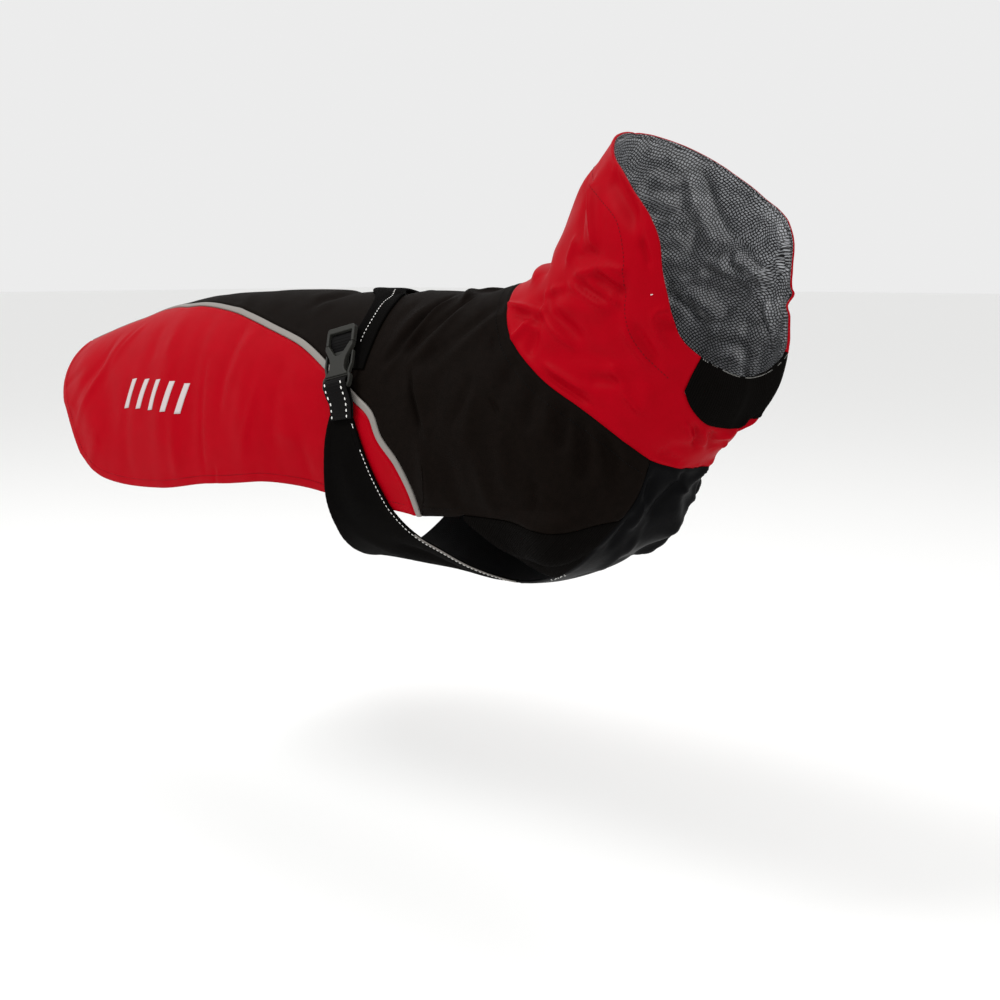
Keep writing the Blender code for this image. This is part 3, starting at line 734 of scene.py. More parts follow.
@dataclass(frozen=True)
class ClothFinish:
    """A cloth, seen as its colour, gloss and thread."""

    name: str
    colour: str
    shade: str
    roughness: float
    weave: Weave = Weave.PLAIN
    thread_mm: float = 1.1
    relief: float = 0.25
    specular: float = 0.1
    mottle_mm: float = 6.0
    crumple_mm: float = 0.0
    crumple: float = 0.0
    creased: bool = False

    def material(self) -> bpy.types.Material:
        """Build the cloth's material, its thread laid along the piece's own UV map in metres."""
        material, shader = new_material(self.name, self.roughness, self.specular)
        tree = material.node_tree
        place = add_node(tree, "ShaderNodeTexCoord").outputs
        # random mottle from shade to colour: tone that differs at random on most cloths, painted glints and
        # painted fold shade on the silver lining
        mottle = add_node(tree, "ShaderNodeTexNoise",
                          {"Vector": place["Object"], "Scale": 1000 / self.mottle_mm, "Detail": 3.0,
                           "Roughness": 0.55})
        base = self.mixed(tree, mottle.outputs["Fac"], linear(self.shade), linear(self.colour))
        base, height = self.thread(tree, place["UV"], base)
        tree.links.new(base, shader.inputs["Base Color"])
        bumps = []
        if self.crumple:
            rough = add_node(tree, "ShaderNodeTexNoise",
                             {"Vector": place["Object"], "Scale": 1000 / self.crumple_mm,
                              "Detail": 2.5 if self.creased else 4.0, "Roughness": 0.6},
                             noise_type="RIDGED_MULTIFRACTAL" if self.creased else "FBM")
            bumps.append((rough.outputs["Fac"], self.crumple, 0.002 if self.creased else 0.001))
        if height is not None:
            bumps.append((height, self.relief, 0.0003))
        under = {}
        for source, strength, distance in bumps:
            bump = add_node(tree, "ShaderNodeBump", {"Height": source, "Strength": strength,
                                                     "Distance": distance, **under})
            under = {"Normal": bump.outputs["Normal"]}
        if under:
            tree.links.new(under["Normal"], shader.inputs["Normal"])
        return material

    @staticmethod
    def mixed(tree: bpy.types.NodeTree, share: bpy.types.NodeSocket, low: object,
              high: object) -> bpy.types.NodeSocket:
        """Mix of two colours."""
        mix = add_node(tree, "ShaderNodeMix", {"Factor": share, 6: low, 7: high}, data_type="RGBA")
        return mix.outputs[2]

    def thread(self, tree: bpy.types.NodeTree, place: bpy.types.NodeSocket,
               base: bpy.types.NodeSocket) -> tuple[bpy.types.NodeSocket, bpy.types.NodeSocket | None]:
        """Colour and height of the weave over a base colour.

        Args:
            tree: the material's tree.
            place: metres along the cloth.
            base: the cloth's colour.

        Returns:
            The colour, and the height or None for a smooth cloth.
        """
        if self.weave is Weave.NONE:
            return base, None
        if self.weave is Weave.NET:
            cells = add_node(tree, "ShaderNodeTexVoronoi",
                             {"Vector": place, "Scale": 1 / (self.thread_mm * MM), "Randomness": 0.35},
                             feature="DISTANCE_TO_EDGE", voronoi_dimensions="2D")
            net = add_node(tree, "ShaderNodeMapRange",
                           {"Value": cells.outputs["Distance"], 1: 0.12, 2: 0.24, 3: 1.0, 4: 0.0}).outputs[0]
            return self.mixed(tree, net, base, linear("#0B0B0C")), net
        # a wave texture's band is 2 pi / 20 of its unit at scale 1
        links = {"Vector": place, "Scale": 2 * math.pi / 20 / (self.thread_mm * MM)}
        along = add_node(tree, "ShaderNodeTexWave", links, bands_direction="Y").outputs["Fac"]
        if self.weave is Weave.PLAIN:
            across = add_node(tree, "ShaderNodeTexWave", links, bands_direction="X").outputs["Fac"]
            along = add_node(tree, "ShaderNodeMath", {0: across, 1: along}, operation="MULTIPLY").outputs[0]
        return base, along


@dataclass(frozen=True)
class PlasticFinish:
    """Moulded plastic: one colour, a fine moulded grain."""

    name: str
    colour: str
    roughness: float
    specular: float = 0.12
    grain_mm: float = 0.5

    def material(self) -> bpy.types.Material:
        """Build the plastic's material."""
        material, shader = new_material(self.name, self.roughness, self.specular)
        tree = material.node_tree
        shader.inputs["Base Color"].default_value = linear(self.colour)
        place = add_node(tree, "ShaderNodeTexCoord")
        grain = add_node(tree, "ShaderNodeTexNoise", {"Vector": place.outputs["Object"],
                                                      "Scale": 1000 / self.grain_mm})
        bump = add_node(tree, "ShaderNodeBump", {"Height": grain.outputs["Fac"], "Strength": 0.12,
                                                 "Distance": 0.0002})
        tree.links.new(bump.outputs["Normal"], shader.inputs["Normal"])
        return material


@dataclass(frozen=True)
class Palette:
    """The coat's finishes."""

    # three-layer softshell, woven polyester face: matt warm black with a faint heather
    softshell: ClothFinish = ClothFinish("softshell_polyester_warm_black", "#120C09", "#090604", 0.66,
                                         thread_mm=1.2, relief=0.4, specular=0.025,
                                         crumple_mm=42.0, crumple=0.75, creased=True)
    # coated polyester shell: saturated red, a low sheen where it creases
    shell: ClothFinish = ClothFinish("coated_polyester_shell_red", "#A30013", "#96000E", 0.46,
                                     thread_mm=0.9, relief=0.12, specular=0.025, mottle_mm=14.0,
                                     crumple_mm=34.0, crumple=0.3, creased=True)
    # smooth nylon taffeta: black, the light slides along its creases
    taffeta: ClothFinish = ClothFinish("nylon_taffeta_black", "#060607", "#030304", 0.48,
                                       thread_mm=0.8, relief=0.08, specular=0.035,
                                       crumple_mm=8.0, crumple=0.35)
    # dense double-face cloth: flat deep black
    double_face: ClothFinish = ClothFinish("double_face_polyester_black", "#080706", "#050404", 0.85,
                                           thread_mm=1.0, relief=0.35, specular=0.02)
    # one-by-one rib knit of cotton and elastane: deep black, no shine
    rib: ClothFinish = ClothFinish("rib_knit_cotton_black", "#0B0908", "#070605", 0.92, Weave.KNIT,
                                   thread_mm=1.0, relief=0.4, specular=0.03)
    # polyester net over a silver coated lining, the dark net over a pale backing; the backing's random
    # mottle from pale silver to dark grey is partly its own tone, partly painted glints and painted shade of
    # crumpled folds
    lining: ClothFinish = ClothFinish("net_over_silver_lining", "#C2C4C8", "#55575B", 0.3, Weave.NET,
                                      thread_mm=2.6, relief=0.5, specular=0.6, mottle_mm=9.0)
    # inside of the shell: the same net over a black coating
    inside: ClothFinish = ClothFinish("net_over_black_lining", "#1C1C1E", "#131315", 0.7, Weave.NET,
                                      thread_mm=2.6, relief=0.4)
    # retro-reflective tape: even mid grey, glass beads dull it
    tape: ClothFinish = ClothFinish("reflective_tape_grey", "#837E79", "#7B7671", 0.5, Weave.NONE,
                                    mottle_mm=2.0, specular=0.3)
    # woven nylon webbing: black with ribs across
    webbing: ClothFinish = ClothFinish("nylon_webbing_black", "#0C0B0B", "#070606", 0.65, Weave.CORD,
                                       thread_mm=1.3, relief=0.3, specular=0.06)
    # acetal buckle: dark grey with a moulded grain
    buckle: PlasticFinish = PlasticFinish("acetal_moulded_dark_grey", "#2B2B28", 0.4)
    # polyester sewing thread in the cloth's colour, painted darker than the cloth as the shade in the stitch
    # groove
    thread_black: PlasticFinish = PlasticFinish("polyester_thread_black", "#030303", 0.8)
    thread_red: PlasticFinish = PlasticFinish("polyester_thread_red", "#6A000E", 0.7)
    # reflective thread: bright pale grey
    thread_white: PlasticFinish = PlasticFinish("reflective_thread_white", "#E9E8E4", 0.5)
    # overlock thread on the rib's raw edge
    thread_grey: PlasticFinish = PlasticFinish("overlock_thread_grey", "#84837F", 0.7)
    # silver reflective print
    print_grey: PlasticFinish = PlasticFinish("reflective_print_grey", "#BDB4B3", 0.5)

    def build(self) -> dict[str, bpy.types.Material]:
        """Every finish's material by its field name."""
        return {name: getattr(self, name).material() for name in self.__dataclass_fields__}


# ---------------------------------------------------------------- meshes


def placed(name: str, data: bpy.types.ID) -> bpy.types.Object:
    """Make an object at the origin, linked to the scene."""
    obj = bpy.data.objects.new(name, data)
    bpy.context.scene.collection.objects.link(obj)
    return obj


def finished_mesh(source: bpy.types.Object, name: str) -> bpy.types.Mesh:
    """Mesh that an object comes to, with the object and its own data removed.

    Args:
        source: the object.
        name: the mesh's name.

    Returns:
        A mesh of its own.
    """
    bpy.context.view_layer.update()
    depsgraph = bpy.context.evaluated_depsgraph_get()
    mesh = bpy.data.meshes.new_from_object(source.evaluated_get(depsgraph), preserve_all_data_layers=True,
                                           depsgraph=depsgraph)
    mesh.name = name
    bpy.data.batch_remove((source, source.data))
    return mesh


def mesh_object(name: str, points: Array, faces: list, materials: Sequence[bpy.types.Material],
                uv: Array | None = None, slots: Sequence[int] | None = None) -> bpy.types.Object:
    """Make a mesh object at the origin.

    Args:
        name: the object's name.
        points: vertices in millimetres.
        faces: vertex numbers of each face.
        materials: material slots.
        uv: a place in metres on the cloth for each vertex.
        slots: a material number for each face.

    Returns:
        The object, shaded smooth.
    """
    mesh = bpy.data.meshes.new(name)
    mesh.from_pydata((np.asarray(points) * MM).tolist(), [], faces)
    for material in materials:
        mesh.materials.append(material)
    if uv is not None:
        layer = mesh.uv_layers.new(name="cloth")
        loops = np.empty(len(mesh.loops), int)
        mesh.loops.foreach_get("vertex_index", loops)
        layer.data.foreach_set("uv", np.asarray(uv)[loops].astype(np.float32).ravel())
    if slots is not None:
        mesh.polygons.foreach_set("material_index", np.asarray(slots, np.int32))
    mesh.polygons.foreach_set("use_smooth", np.ones(len(mesh.polygons), bool))
    mesh.update()
    return placed(name, mesh)


def wall_faces(outer: Array, inner: Array, wrap: bool = False) -> tuple[list, list]:
    """Faces of a closed wall between an outer and an inner grid of points, turned outwards.

    Args:
        outer: the outer grid.
        inner: the inner grid, whose points follow the outer grid's.
        wrap: whether the last column joins the first.

    Returns:
        The faces, and the material number of each: 0 outside and on edges, 1 inside.
    """
    rows, cols = outer.shape[:2]
    size, last = rows * cols, cols if wrap else cols - 1
    i, j = np.meshgrid(np.arange(rows - 1), np.arange(last), indexing="ij")
    k = (j + 1) % cols
    face = np.stack([i * cols + j, (i + 1) * cols + j, (i + 1) * cols + k, i * cols + k], axis=-1)
    face = face.reshape(-1, 4)
    back = face[:, ::-1] + size
    j = np.arange(last)
    k, low = (j + 1) % cols, (rows - 1) * cols
    rims = [np.stack([j, k, size + k, size + j], axis=-1),
            np.stack([low + k, low + j, size + low + j, size + low + k], axis=-1)]
    if not wrap:
        a, b = np.arange(rows - 1) * cols, np.arange(1, rows) * cols
        rims.append(np.stack([b, a, size + a, size + b], axis=-1))
        rims.append(np.stack([a, b, size + b, size + a], axis=-1) + cols - 1)
    faces = np.concatenate([face, back] + rims)
    slots = np.zeros(len(faces), int)
    slots[len(face):2 * len(face)] = 1
    a, b = outer[1:, :-1] - outer[:-1, :-1], outer[:-1, 1:] - outer[:-1, :-1]
    inside_out = np.sum(np.cross(a, b) * (outer[:-1, :-1] - inner[:-1, :-1])) < 0
    return (faces[:, ::-1] if inside_out else faces).tolist(), slots.tolist()


def both_faces(outer: Array, inner: Array) -> Array:
    """Points of an outer and an inner grid in one list."""
    return np.concatenate([outer.reshape(-1, outer.shape[-1]), inner.reshape(-1, inner.shape[-1])])


def run_of(points: Array) -> Array:
    """Length along a line at each of its points."""
    return np.concatenate([[0.0], np.cumsum(np.linalg.norm(np.diff(points, axis=0), axis=1))])


@dataclass
class SewnPiece:
    """One piece of cloth on the form, with its edges' finish."""

    name: str
    grid: Array
    outside: bpy.types.Material
    inside: bpy.types.Material
    edges: Sequence[tuple[Array, EdgeFinish]] = ()
    out: Array | float = 0.0
    wall: float = WALL
    wrap: bool = False

    @cached_property
    def faces_of_cloth(self) -> tuple[Array, Array]:
        """Outer and inner grids of points, in millimetres."""
        s, deg = self.grid[..., 0], self.grid[..., 1]
        plain = FORM.point(s, deg)
        relief = np.zeros(s.shape)
        for line, finish in self.edges:
            gap, arc = MeasuredEdge(line).measure(plain)
            relief += finish.relief(gap, arc)
        fold = FORM.fold_height(s, deg) + self.out
        square = FORM.normal(s, deg)
        outer = plain + square * (fold + relief)[..., None]
        inner = plain + square * (fold + np.minimum(relief, 0) * 0.3 - self.wall)[..., None]
        return outer, inner

    def build(self) -> bpy.types.Object:
        """Make the piece's closed wall."""
        outer, inner = self.faces_of_cloth
        rows, cols = outer.shape[:2]
        faces, slots = wall_faces(outer, inner, self.wrap)
        across = np.linalg.norm(np.diff(outer, axis=1), axis=-1)
        along = np.linalg.norm(np.diff(outer, axis=0), axis=-1)
        u = np.concatenate([np.zeros((rows, 1)), np.cumsum(across, axis=1)], axis=1)
        u = u - u[:, cols // 2][:, None]
        v = np.concatenate([np.zeros((1, cols)), np.cumsum(along, axis=0)])
        uv = np.stack([u, v], axis=-1) * MM
        return mesh_object(self.name, both_faces(outer, inner), faces, [self.outside, self.inside],
                           both_faces(uv, uv), slots)

    def build_ribbed(self, row: int, pitch: float, rise: float) -> bpy.types.Object:
        """Make the wall with ribs on its outer face.

        Args:
            row: the grid's row that the ribs are counted along.
            pitch: millimetres from rib to rib.
            rise: millimetres of a rib's height.

        Returns:
            The ribbed wall.
        """
        outer, _ = self.faces_of_cloth
        place = np.broadcast_to(run_of(outer[row]), outer.shape[:2])[..., None]
        square = FORM.normal(self.grid[..., 0], self.grid[..., 1])
        return RibTree.raise_ribs(self.build(), both_faces(place, place), both_faces(square, square * 0),
                                  pitch, rise, self.outside)

    def area(self) -> float:
        """Area of the outer face in square metres."""
        points = self.faces_of_cloth[0]
        if self.wrap:
            points = np.concatenate([points, points[:, :1]], axis=1)
        a = points[1:, :-1] - points[:-1, :-1]
        b = points[:-1, 1:] - points[:-1, :-1]
        c = points[1:, 1:] - points[:-1, 1:]
        d = points[1:, 1:] - points[1:, :-1]
        size = np.linalg.norm(np.cross(a, b), axis=-1) + np.linalg.norm(np.cross(c, d), axis=-1)
        return float(size.sum() / 2) * MM * MM


def new_tree(name: str, inputs: dict[str, str]) -> tuple[bpy.types.NodeTree, bpy.types.bpy_prop_collection]:
    """Start a geometry node tree with its geometry and named inputs.

    Args:
        name: the tree's name.
        inputs: the kind of each further input, by its name.

    Returns:
        The tree and the sockets of its inputs.
    """
    tree = bpy.data.node_groups.new(name, "GeometryNodeTree")
    for label, kind in (("Geometry", "Geometry"), *inputs.items()):
        tree.interface.new_socket(label, in_out="INPUT", socket_type="NodeSocket" + kind)
    tree.interface.new_socket("Geometry", in_out="OUTPUT", socket_type="NodeSocketGeometry")
    return tree, add_node(tree, "NodeGroupInput").outputs


def end_tree(tree: bpy.types.NodeTree, shape: bpy.types.Node, material: bpy.types.NodeSocket) -> None:
    """End a tree with real geometry, shaded smooth, in its material.

    Args:
        tree: the node tree.
        shape: the node whose first output is the geometry.
        material: the input that gives the material.
    """
    real = add_node(tree, "GeometryNodeRealizeInstances", {"Geometry": shape.outputs[0]})
    even = add_node(tree, "GeometryNodeSetShadeSmooth", {"Geometry": real.outputs[0]})
    dressed = add_node(tree, "GeometryNodeSetMaterial", {"Geometry": even.outputs[0], "Material": material})
    add_node(tree, "NodeGroupOutput", {"Geometry": dressed.outputs[0]})


def apply_tree(source: bpy.types.Object, tree: bpy.types.NodeTree, values: dict,
               name: str) -> bpy.types.Object:
    """Turn a mesh with a node tree on it into a plain mesh.

    Args:
        source: the object that the tree works on; it is removed.
        tree: the node tree.
        values: the tree's inputs by name.
        name: the new object's name.

    Returns:
        The new object at the origin.
    """
    modifier = source.modifiers.new("tree", "NODES")
    modifier.node_group = tree
    for item in tree.interface.items_tree:
        if item.item_type == "SOCKET" and item.in_out == "INPUT" and item.name in values:
            modifier[item.identifier] = values[item.name]
    return placed(name, finished_mesh(source, name))


@dataclass(frozen=True)
class StitchStyle:
    """One kind of stitch, in millimetres, laid along lines on the cloth by a node tree."""

    pitch: float
    length: float
    width: float
    rise: float
    seed: int = 5

    @staticmethod
    @cache
    def tree() -> bpy.types.NodeTree:
        """Node tree that turns each line of the mesh into a row of stitches."""
        tree, given = new_tree("stitch_row", {"Pitch": "Float", "Length": "Float", "Width": "Float",
                                              "Rise": "Float", "Seed": "Int", "Thread": "Material"})
        curve = add_node(tree, "GeometryNodeMeshToCurve", {"Mesh": given["Geometry"]})
        spaced = add_node(tree, "GeometryNodeResampleCurve",
                          {"Curve": curve.outputs[0], "Length": given["Pitch"]}, mode="LENGTH")
        tangent = add_node(tree, "GeometryNodeInputTangent").outputs[0]
        up = add_node(tree, "GeometryNodeInputNamedAttribute", {"Name": "up"}, data_type="FLOAT_VECTOR")
        first = add_node(tree, "FunctionNodeAlignRotationToVector", {"Vector": tangent}, axis="X")
        turned = add_node(tree, "FunctionNodeAlignRotationToVector",
                          {"Rotation": first.outputs[0], "Vector": up.outputs[0]}, axis="Z", pivot_axis="X")
        vary = add_node(tree, "FunctionNodeRandomValue", {2: 0.9, 3: 1.08, "Seed": given["Seed"]},
                        data_type="FLOAT")
        size = add_node(tree, "ShaderNodeCombineXYZ", {"X": given["Length"], "Y": given["Width"],
                                                       "Z": given["Rise"]})
        scale = add_node(tree, "ShaderNodeVectorMath", {0: size.outputs[0], "Scale": vary.outputs[1]},
                         operation="SCALE")
        ball = add_node(tree, "GeometryNodeMeshUVSphere", {"Segments": 6, "Rings": 4, "Radius": 0.5})
        laid = add_node(tree, "GeometryNodeInstanceOnPoints",
                        {"Points": spaced.outputs[0], "Instance": ball.outputs[0],
                         "Rotation": turned.outputs[0], "Scale": scale.outputs[0]})
        end_tree(tree, laid, given["Thread"])
        return tree

    def lay(self, name: str, lines: Sequence[tuple[Array, Array]],
            thread: bpy.types.Material) -> bpy.types.Object:
        """Lay stitches along lines.

        Args:
            name: the new object's name.
            lines: for each row its points in millimetres and the directions out of the cloth.
            thread: the thread's material.

        Returns:
            A plain mesh with every stitch.
        """
        edges, start = [], 0
        for line, _ in lines:
            edges += [(start + i, start + i + 1) for i in range(len(line) - 1)]
            start += len(line)
        mesh = bpy.data.meshes.new(name + "_line")
        mesh.from_pydata((np.concatenate([p for p, _ in lines]) * MM).tolist(), edges, [])
        ups = np.concatenate([n for _, n in lines]).ravel()
        mesh.attributes.new("up", "FLOAT_VECTOR", "POINT").data.foreach_set("vector", ups)
        values = {"Pitch": self.pitch * MM, "Length": self.length * MM, "Width": self.width * MM,
                  "Rise": self.rise * MM, "Seed": self.seed, "Thread": thread}
        return apply_tree(placed(name + "_line", mesh), self.tree(), values, name)


class RibTree:
    """Node tree that raises the ribs of a knit out of a plain wall."""

    @staticmethod
    @cache
    def tree() -> bpy.types.NodeTree:
        """The tree: each point moves out by a rounded rib of its place across the knit."""
        tree, given = new_tree("rib_knit", {"Pitch": "Float", "Rise": "Float", "Knit": "Material"})

        def step(operation: str, *values: object) -> bpy.types.NodeSocket:
            """One sum of the rib's height."""
            return add_node(tree, "ShaderNodeMath", dict(enumerate(values)), operation=operation).outputs[0]

        place, out = (add_node(tree, "GeometryNodeInputNamedAttribute", {"Name": name}, data_type=kind)
                      for name, kind in (("rib_place", "FLOAT"), ("rib_out", "FLOAT_VECTOR")))
        angle = step("MULTIPLY", step("DIVIDE", place.outputs[0], given["Pitch"]), math.pi)
        rib = step("POWER", step("ABSOLUTE", step("SINE", angle)), 0.7)
        rise = step("MULTIPLY", rib, given["Rise"])
        move = add_node(tree, "ShaderNodeVectorMath", {0: out.outputs[0], "Scale": rise}, operation="SCALE")
        shaped = add_node(tree, "GeometryNodeSetPosition", {"Geometry": given["Geometry"],
                                                            "Offset": move.outputs[0]})
        end_tree(tree, shaped, given["Knit"])
        return tree

    @classmethod
    def raise_ribs(cls, obj: bpy.types.Object, place: Array, out: Array, pitch: float, rise: float,
                   knit: bpy.types.Material) -> bpy.types.Object:
        """Raise ribs on a wall.

        Args:
            obj: the plain wall.
            place: millimetres across the knit, one for each vertex.
            out: the direction out of the cloth, zero on the inner face.
            pitch: millimetres from rib to rib.
            rise: millimetres of a rib's height.
            knit: the knit's material.

        Returns:
            The ribbed wall with the same name.
        """
        made = obj.data.attributes
        made.new("rib_place", "FLOAT", "POINT").data.foreach_set("value", place.ravel() * MM)
        made.new("rib_out", "FLOAT_VECTOR", "POINT").data.foreach_set("vector", out.ravel())
        name = obj.name
        obj.name = name + "_plain"
        return apply_tree(obj, cls.tree(), {"Pitch": pitch * MM, "Rise": rise * MM, "Knit": knit}, name)


class Workroom:
    """Keeps the finishes, and rides each piece on the frame's body."""

    def __init__(self) -> None:
        """Build the finishes."""
        self.cloth = Palette().build()

    @staticmethod
    def keep(obj: bpy.types.Object, slot: str, *nodes: str) -> bpy.types.Object:
        """Ride a piece on the coat and hide the solids that it stands for.

        Args:
            obj: the piece.
            slot: not used.
            nodes: the solids that it stands for.

        Returns:
            The same piece.
        """
        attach(obj, BODY)
        if nodes:
            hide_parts(*nodes)
        log.info("%s: %d faces", obj.name, len(obj.data.polygons))
        return obj

    def stitch(self, name: str, lines: Sequence[tuple[Array, Array]], style: StitchStyle, thread: str,
               slot: str = "reflective_piping") -> bpy.types.Object:
        """Lay stitches along lines and keep them."""
        return self.keep(style.lay(name, lines, self.cloth[thread]), slot)

    @staticmethod
    def declare(obj: bpy.types.Object, flat: tuple[float, float], area: float,
                goes_with: Sequence[bpy.types.Object] = ()) -> None:
        """Takes a piece's flat size in metres and its flat area, and does nothing with them."""


def on_cloth(stations: Array, out: Array | float) -> tuple[Array, Array]:
    """Points of a line on the cloth and the directions out of it."""
    s, deg = stations[:, 0], stations[:, 1]
    return FORM.cloth(s, deg, out), FORM.normal(s, deg)


TOPSTITCH = StitchStyle(3.0, 2.3, 0.65, 0.45)
REFLECTIVE = StitchStyle(3.6, 2.5, 0.9, 0.6, seed=8)
DASH = StitchStyle(4.64, 2.9, 1.6, 0.7, seed=9)
TACK = StitchStyle(4.0, 1.1, 0.9, 0.5, seed=12)
OVERLOCK = StitchStyle(1.5, 1.3, 0.8, 0.7, seed=10)


# ---------------------------------------------------------------- the pieces


def on_both(edges: Sequence[tuple[Array, EdgeFinish]],
            whole_turn: bool = False) -> list[tuple[Array, EdgeFinish]]:
    """Edges of the right half, then the same edges on the left."""
    return [*edges, *((mirrored(line, whole_turn), finish) for line, finish in edges)]


@dataclass
class Back:
    """Black back and shoulders, the red rump panels and the piping between them."""

    room: Workroom
    # fields of the outline: piping above and below its sharpest bend, hem, gusset seam, chest seam
    fields: tuple[int, ...] = (19, 8, 4, 7, 3)
    rows_a_field: tuple[int, ...] = (7, 5, 5, 6, 6)
    lean_mm: float = 18.0
    lean_fields: float = 11.0
    crest_from: float = 16.0
    rear_half_deg: float = 27.0
    casing_mm: float = 11.0
    hem_rows_mm: tuple[float, float] = (2.6, 7.0)
    grid_mm: float = 3.4
    pipe_across: tuple[float, ...] = (-3.0, -2.9, -2.5, -1.6, -0.6, 0.6, 1.6, 2.5, 2.9, 3.0)
    pipe_rise: tuple[float, ...] = (-0.5, 0.25, 0.7, 0.9, 0.95, 0.95, 0.9, 0.7, 0.25, -0.5)
    bar_count: int = 5
    bar_start: tuple[float, float] = (168.0, 64.5)
    bar_pitch: float = 24.0
    bar_drop: float = 1.0
    bar_width: float = 8.0
    bar_height: float = 19.0
    bar_slant_deg: float = 20.0
    print_mm: tuple[float, float] = (0.55, -0.4)

    @property
    def piping_end(self) -> int:
        """Fields from the start of the outline to the end of the piping."""
        return sum(self.fields[:2])

    def outline(self) -> Line:
        """Outline of the right half of the black back, counted in fields."""
        parts = (*PIPE_PARTS, through(BODY_HEM), through(GUSSET_TOP), through(CHEST_UPPER))
        return joined(list(zip(parts, self.fields)))

    def half_grid(self, t: Array, u: Array) -> Array:
        """Stations of the right half of the black back.

        Args:
            t: rows, counted in fields along the outline.
            u: shares from the spine to the outline.

        Returns:
            A grid of stations.
        """
        last = sum(self.fields)
        edge = self.outline()(t)
        beside = t <= self.piping_end
        edge[beside] = shifted(edge[beside], TO_BLACK, PIPE_EDGE)
        edge[~beside] = shifted(edge[~beside], UP, HALF_SEAM)
        turn = np.interp(self.crest_from, t, edge[:, 0])
        crest = edge * np.array([1.0, 0.0])
        after = t > self.crest_from
        share = (t[after] - self.crest_from) / (last - self.crest_from)
        crest[after, 0] = turn + (NECK_SEAM[0][0] - turn) * share
        low = crest[0] + (edge[0] - crest[0]) * u[:, None]
        top = through(NECK_SEAM)(u)
        top = shifted(top + (edge[-1] - top[-1]) * u[:, None] ** 4, REARWARDS, HALF_SEAM)
        grid = patch(crest, edge, low, top, u, t / last)
        near = ease(1 - np.abs(t - self.piping_end) / self.lean_fields)[:, None]
        # the middle columns lean forward beside the piping's end; 6.75 makes the lean's peak 1
        grid[..., 0] += self.lean_mm * 6.75 * (u * u * (1 - u))[None] * near
        return grid

    def rows(self) -> Array:
        """Row positions of the black back, counted in fields, closer together at its ends."""
        ends = np.cumsum((0, *self.fields))
        steps = [np.linspace(a, b, (b - a) * n + 1) for a, b, n in zip(ends, ends[1:], self.rows_a_field)]
        close = np.array([0.03, 0.08, 0.15, 0.25, 0.33])
        return np.unique(np.concatenate([np.round(np.concatenate(steps), 6), close, ends[-1] - close]))

    def build(self) -> list[bpy.types.Object]:
        """Make the back, the rump panels, the piping and their stitching."""
        room, cloth = self.room, self.room.cloth
        half = self.half_grid(self.rows(), shares(205.0, self.grid_mm, fine_start=False))
        grid = np.concatenate([mirrored(half[:, :0:-1]), half], axis=1)
        dense = np.linspace(0, 1, 160)
        seam = shifted(self.outline()(np.linspace(0, self.piping_end, 400)), TO_BLACK, PIPE_EDGE)
        hem, gusset, chest, neck = (through(knots)(dense)
                                    for knots in (BODY_HEM, GUSSET_TOP, CHEST_UPPER, NECK_SEAM))
        turn = np.linspace(-self.rear_half_deg, self.rear_half_deg, len(dense))
        rear = np.stack([turn * 0, turn], axis=-1)
        sewn = EdgeFinish(EdgeKind.SEAM, pucker=0.2)
        edges = on_both(((seam, sewn), (hem, EdgeFinish(EdgeKind.HEM, 8.0, 0.3)),
                         (gusset, EdgeFinish(EdgeKind.SEAM, pucker=0.4, reach=12, wave=8)), (chest, sewn)))
        whole_neck = np.concatenate([mirrored(neck)[:0:-1], neck])
        edges += [(whole_neck, EdgeFinish(EdgeKind.SEAM, pucker=0.75, reach=20, wave=13, seed=21)),
                  (rear, EdgeFinish(EdgeKind.HEM, 8.0, 0.2))]
        piece = SewnPiece("body_shell_cloth", grid, cloth["softshell"], cloth["inside"], edges)
        shell = room.keep(piece.build(), "black_softshell", "body_shell")
        stitched = [shifted(hem, UP, inset) for inset in self.hem_rows_mm]
        rows = [on_cloth(shifted(whole_neck, REARWARDS, self.casing_mm), 0.1)]
        rows += [on_cloth(line, 0.3) for line in (*stitched, *(mirrored(line) for line in stitched))]
        thread = room.stitch("body_topstitching", rows, TOPSTITCH, "thread_black", "black_softshell")
        room.declare(shell, (0.50, 0.80), round(piece.area(), 3), [thread])
        return [shell, thread, *self.build_side(*SIDES[0]), *self.build_side(*SIDES[1])]

    @staticmethod
    def red_side(line: Line) -> Line:
        """The red side of a stretch of the piping."""
        dense = np.linspace(0, 1, 300)
        moved = shifted(line(dense), TO_RED, PIPE_EDGE)
        return lambda share: np.stack([np.interp(share, dense, moved[:, k]) for k in (0, 1)], axis=-1)

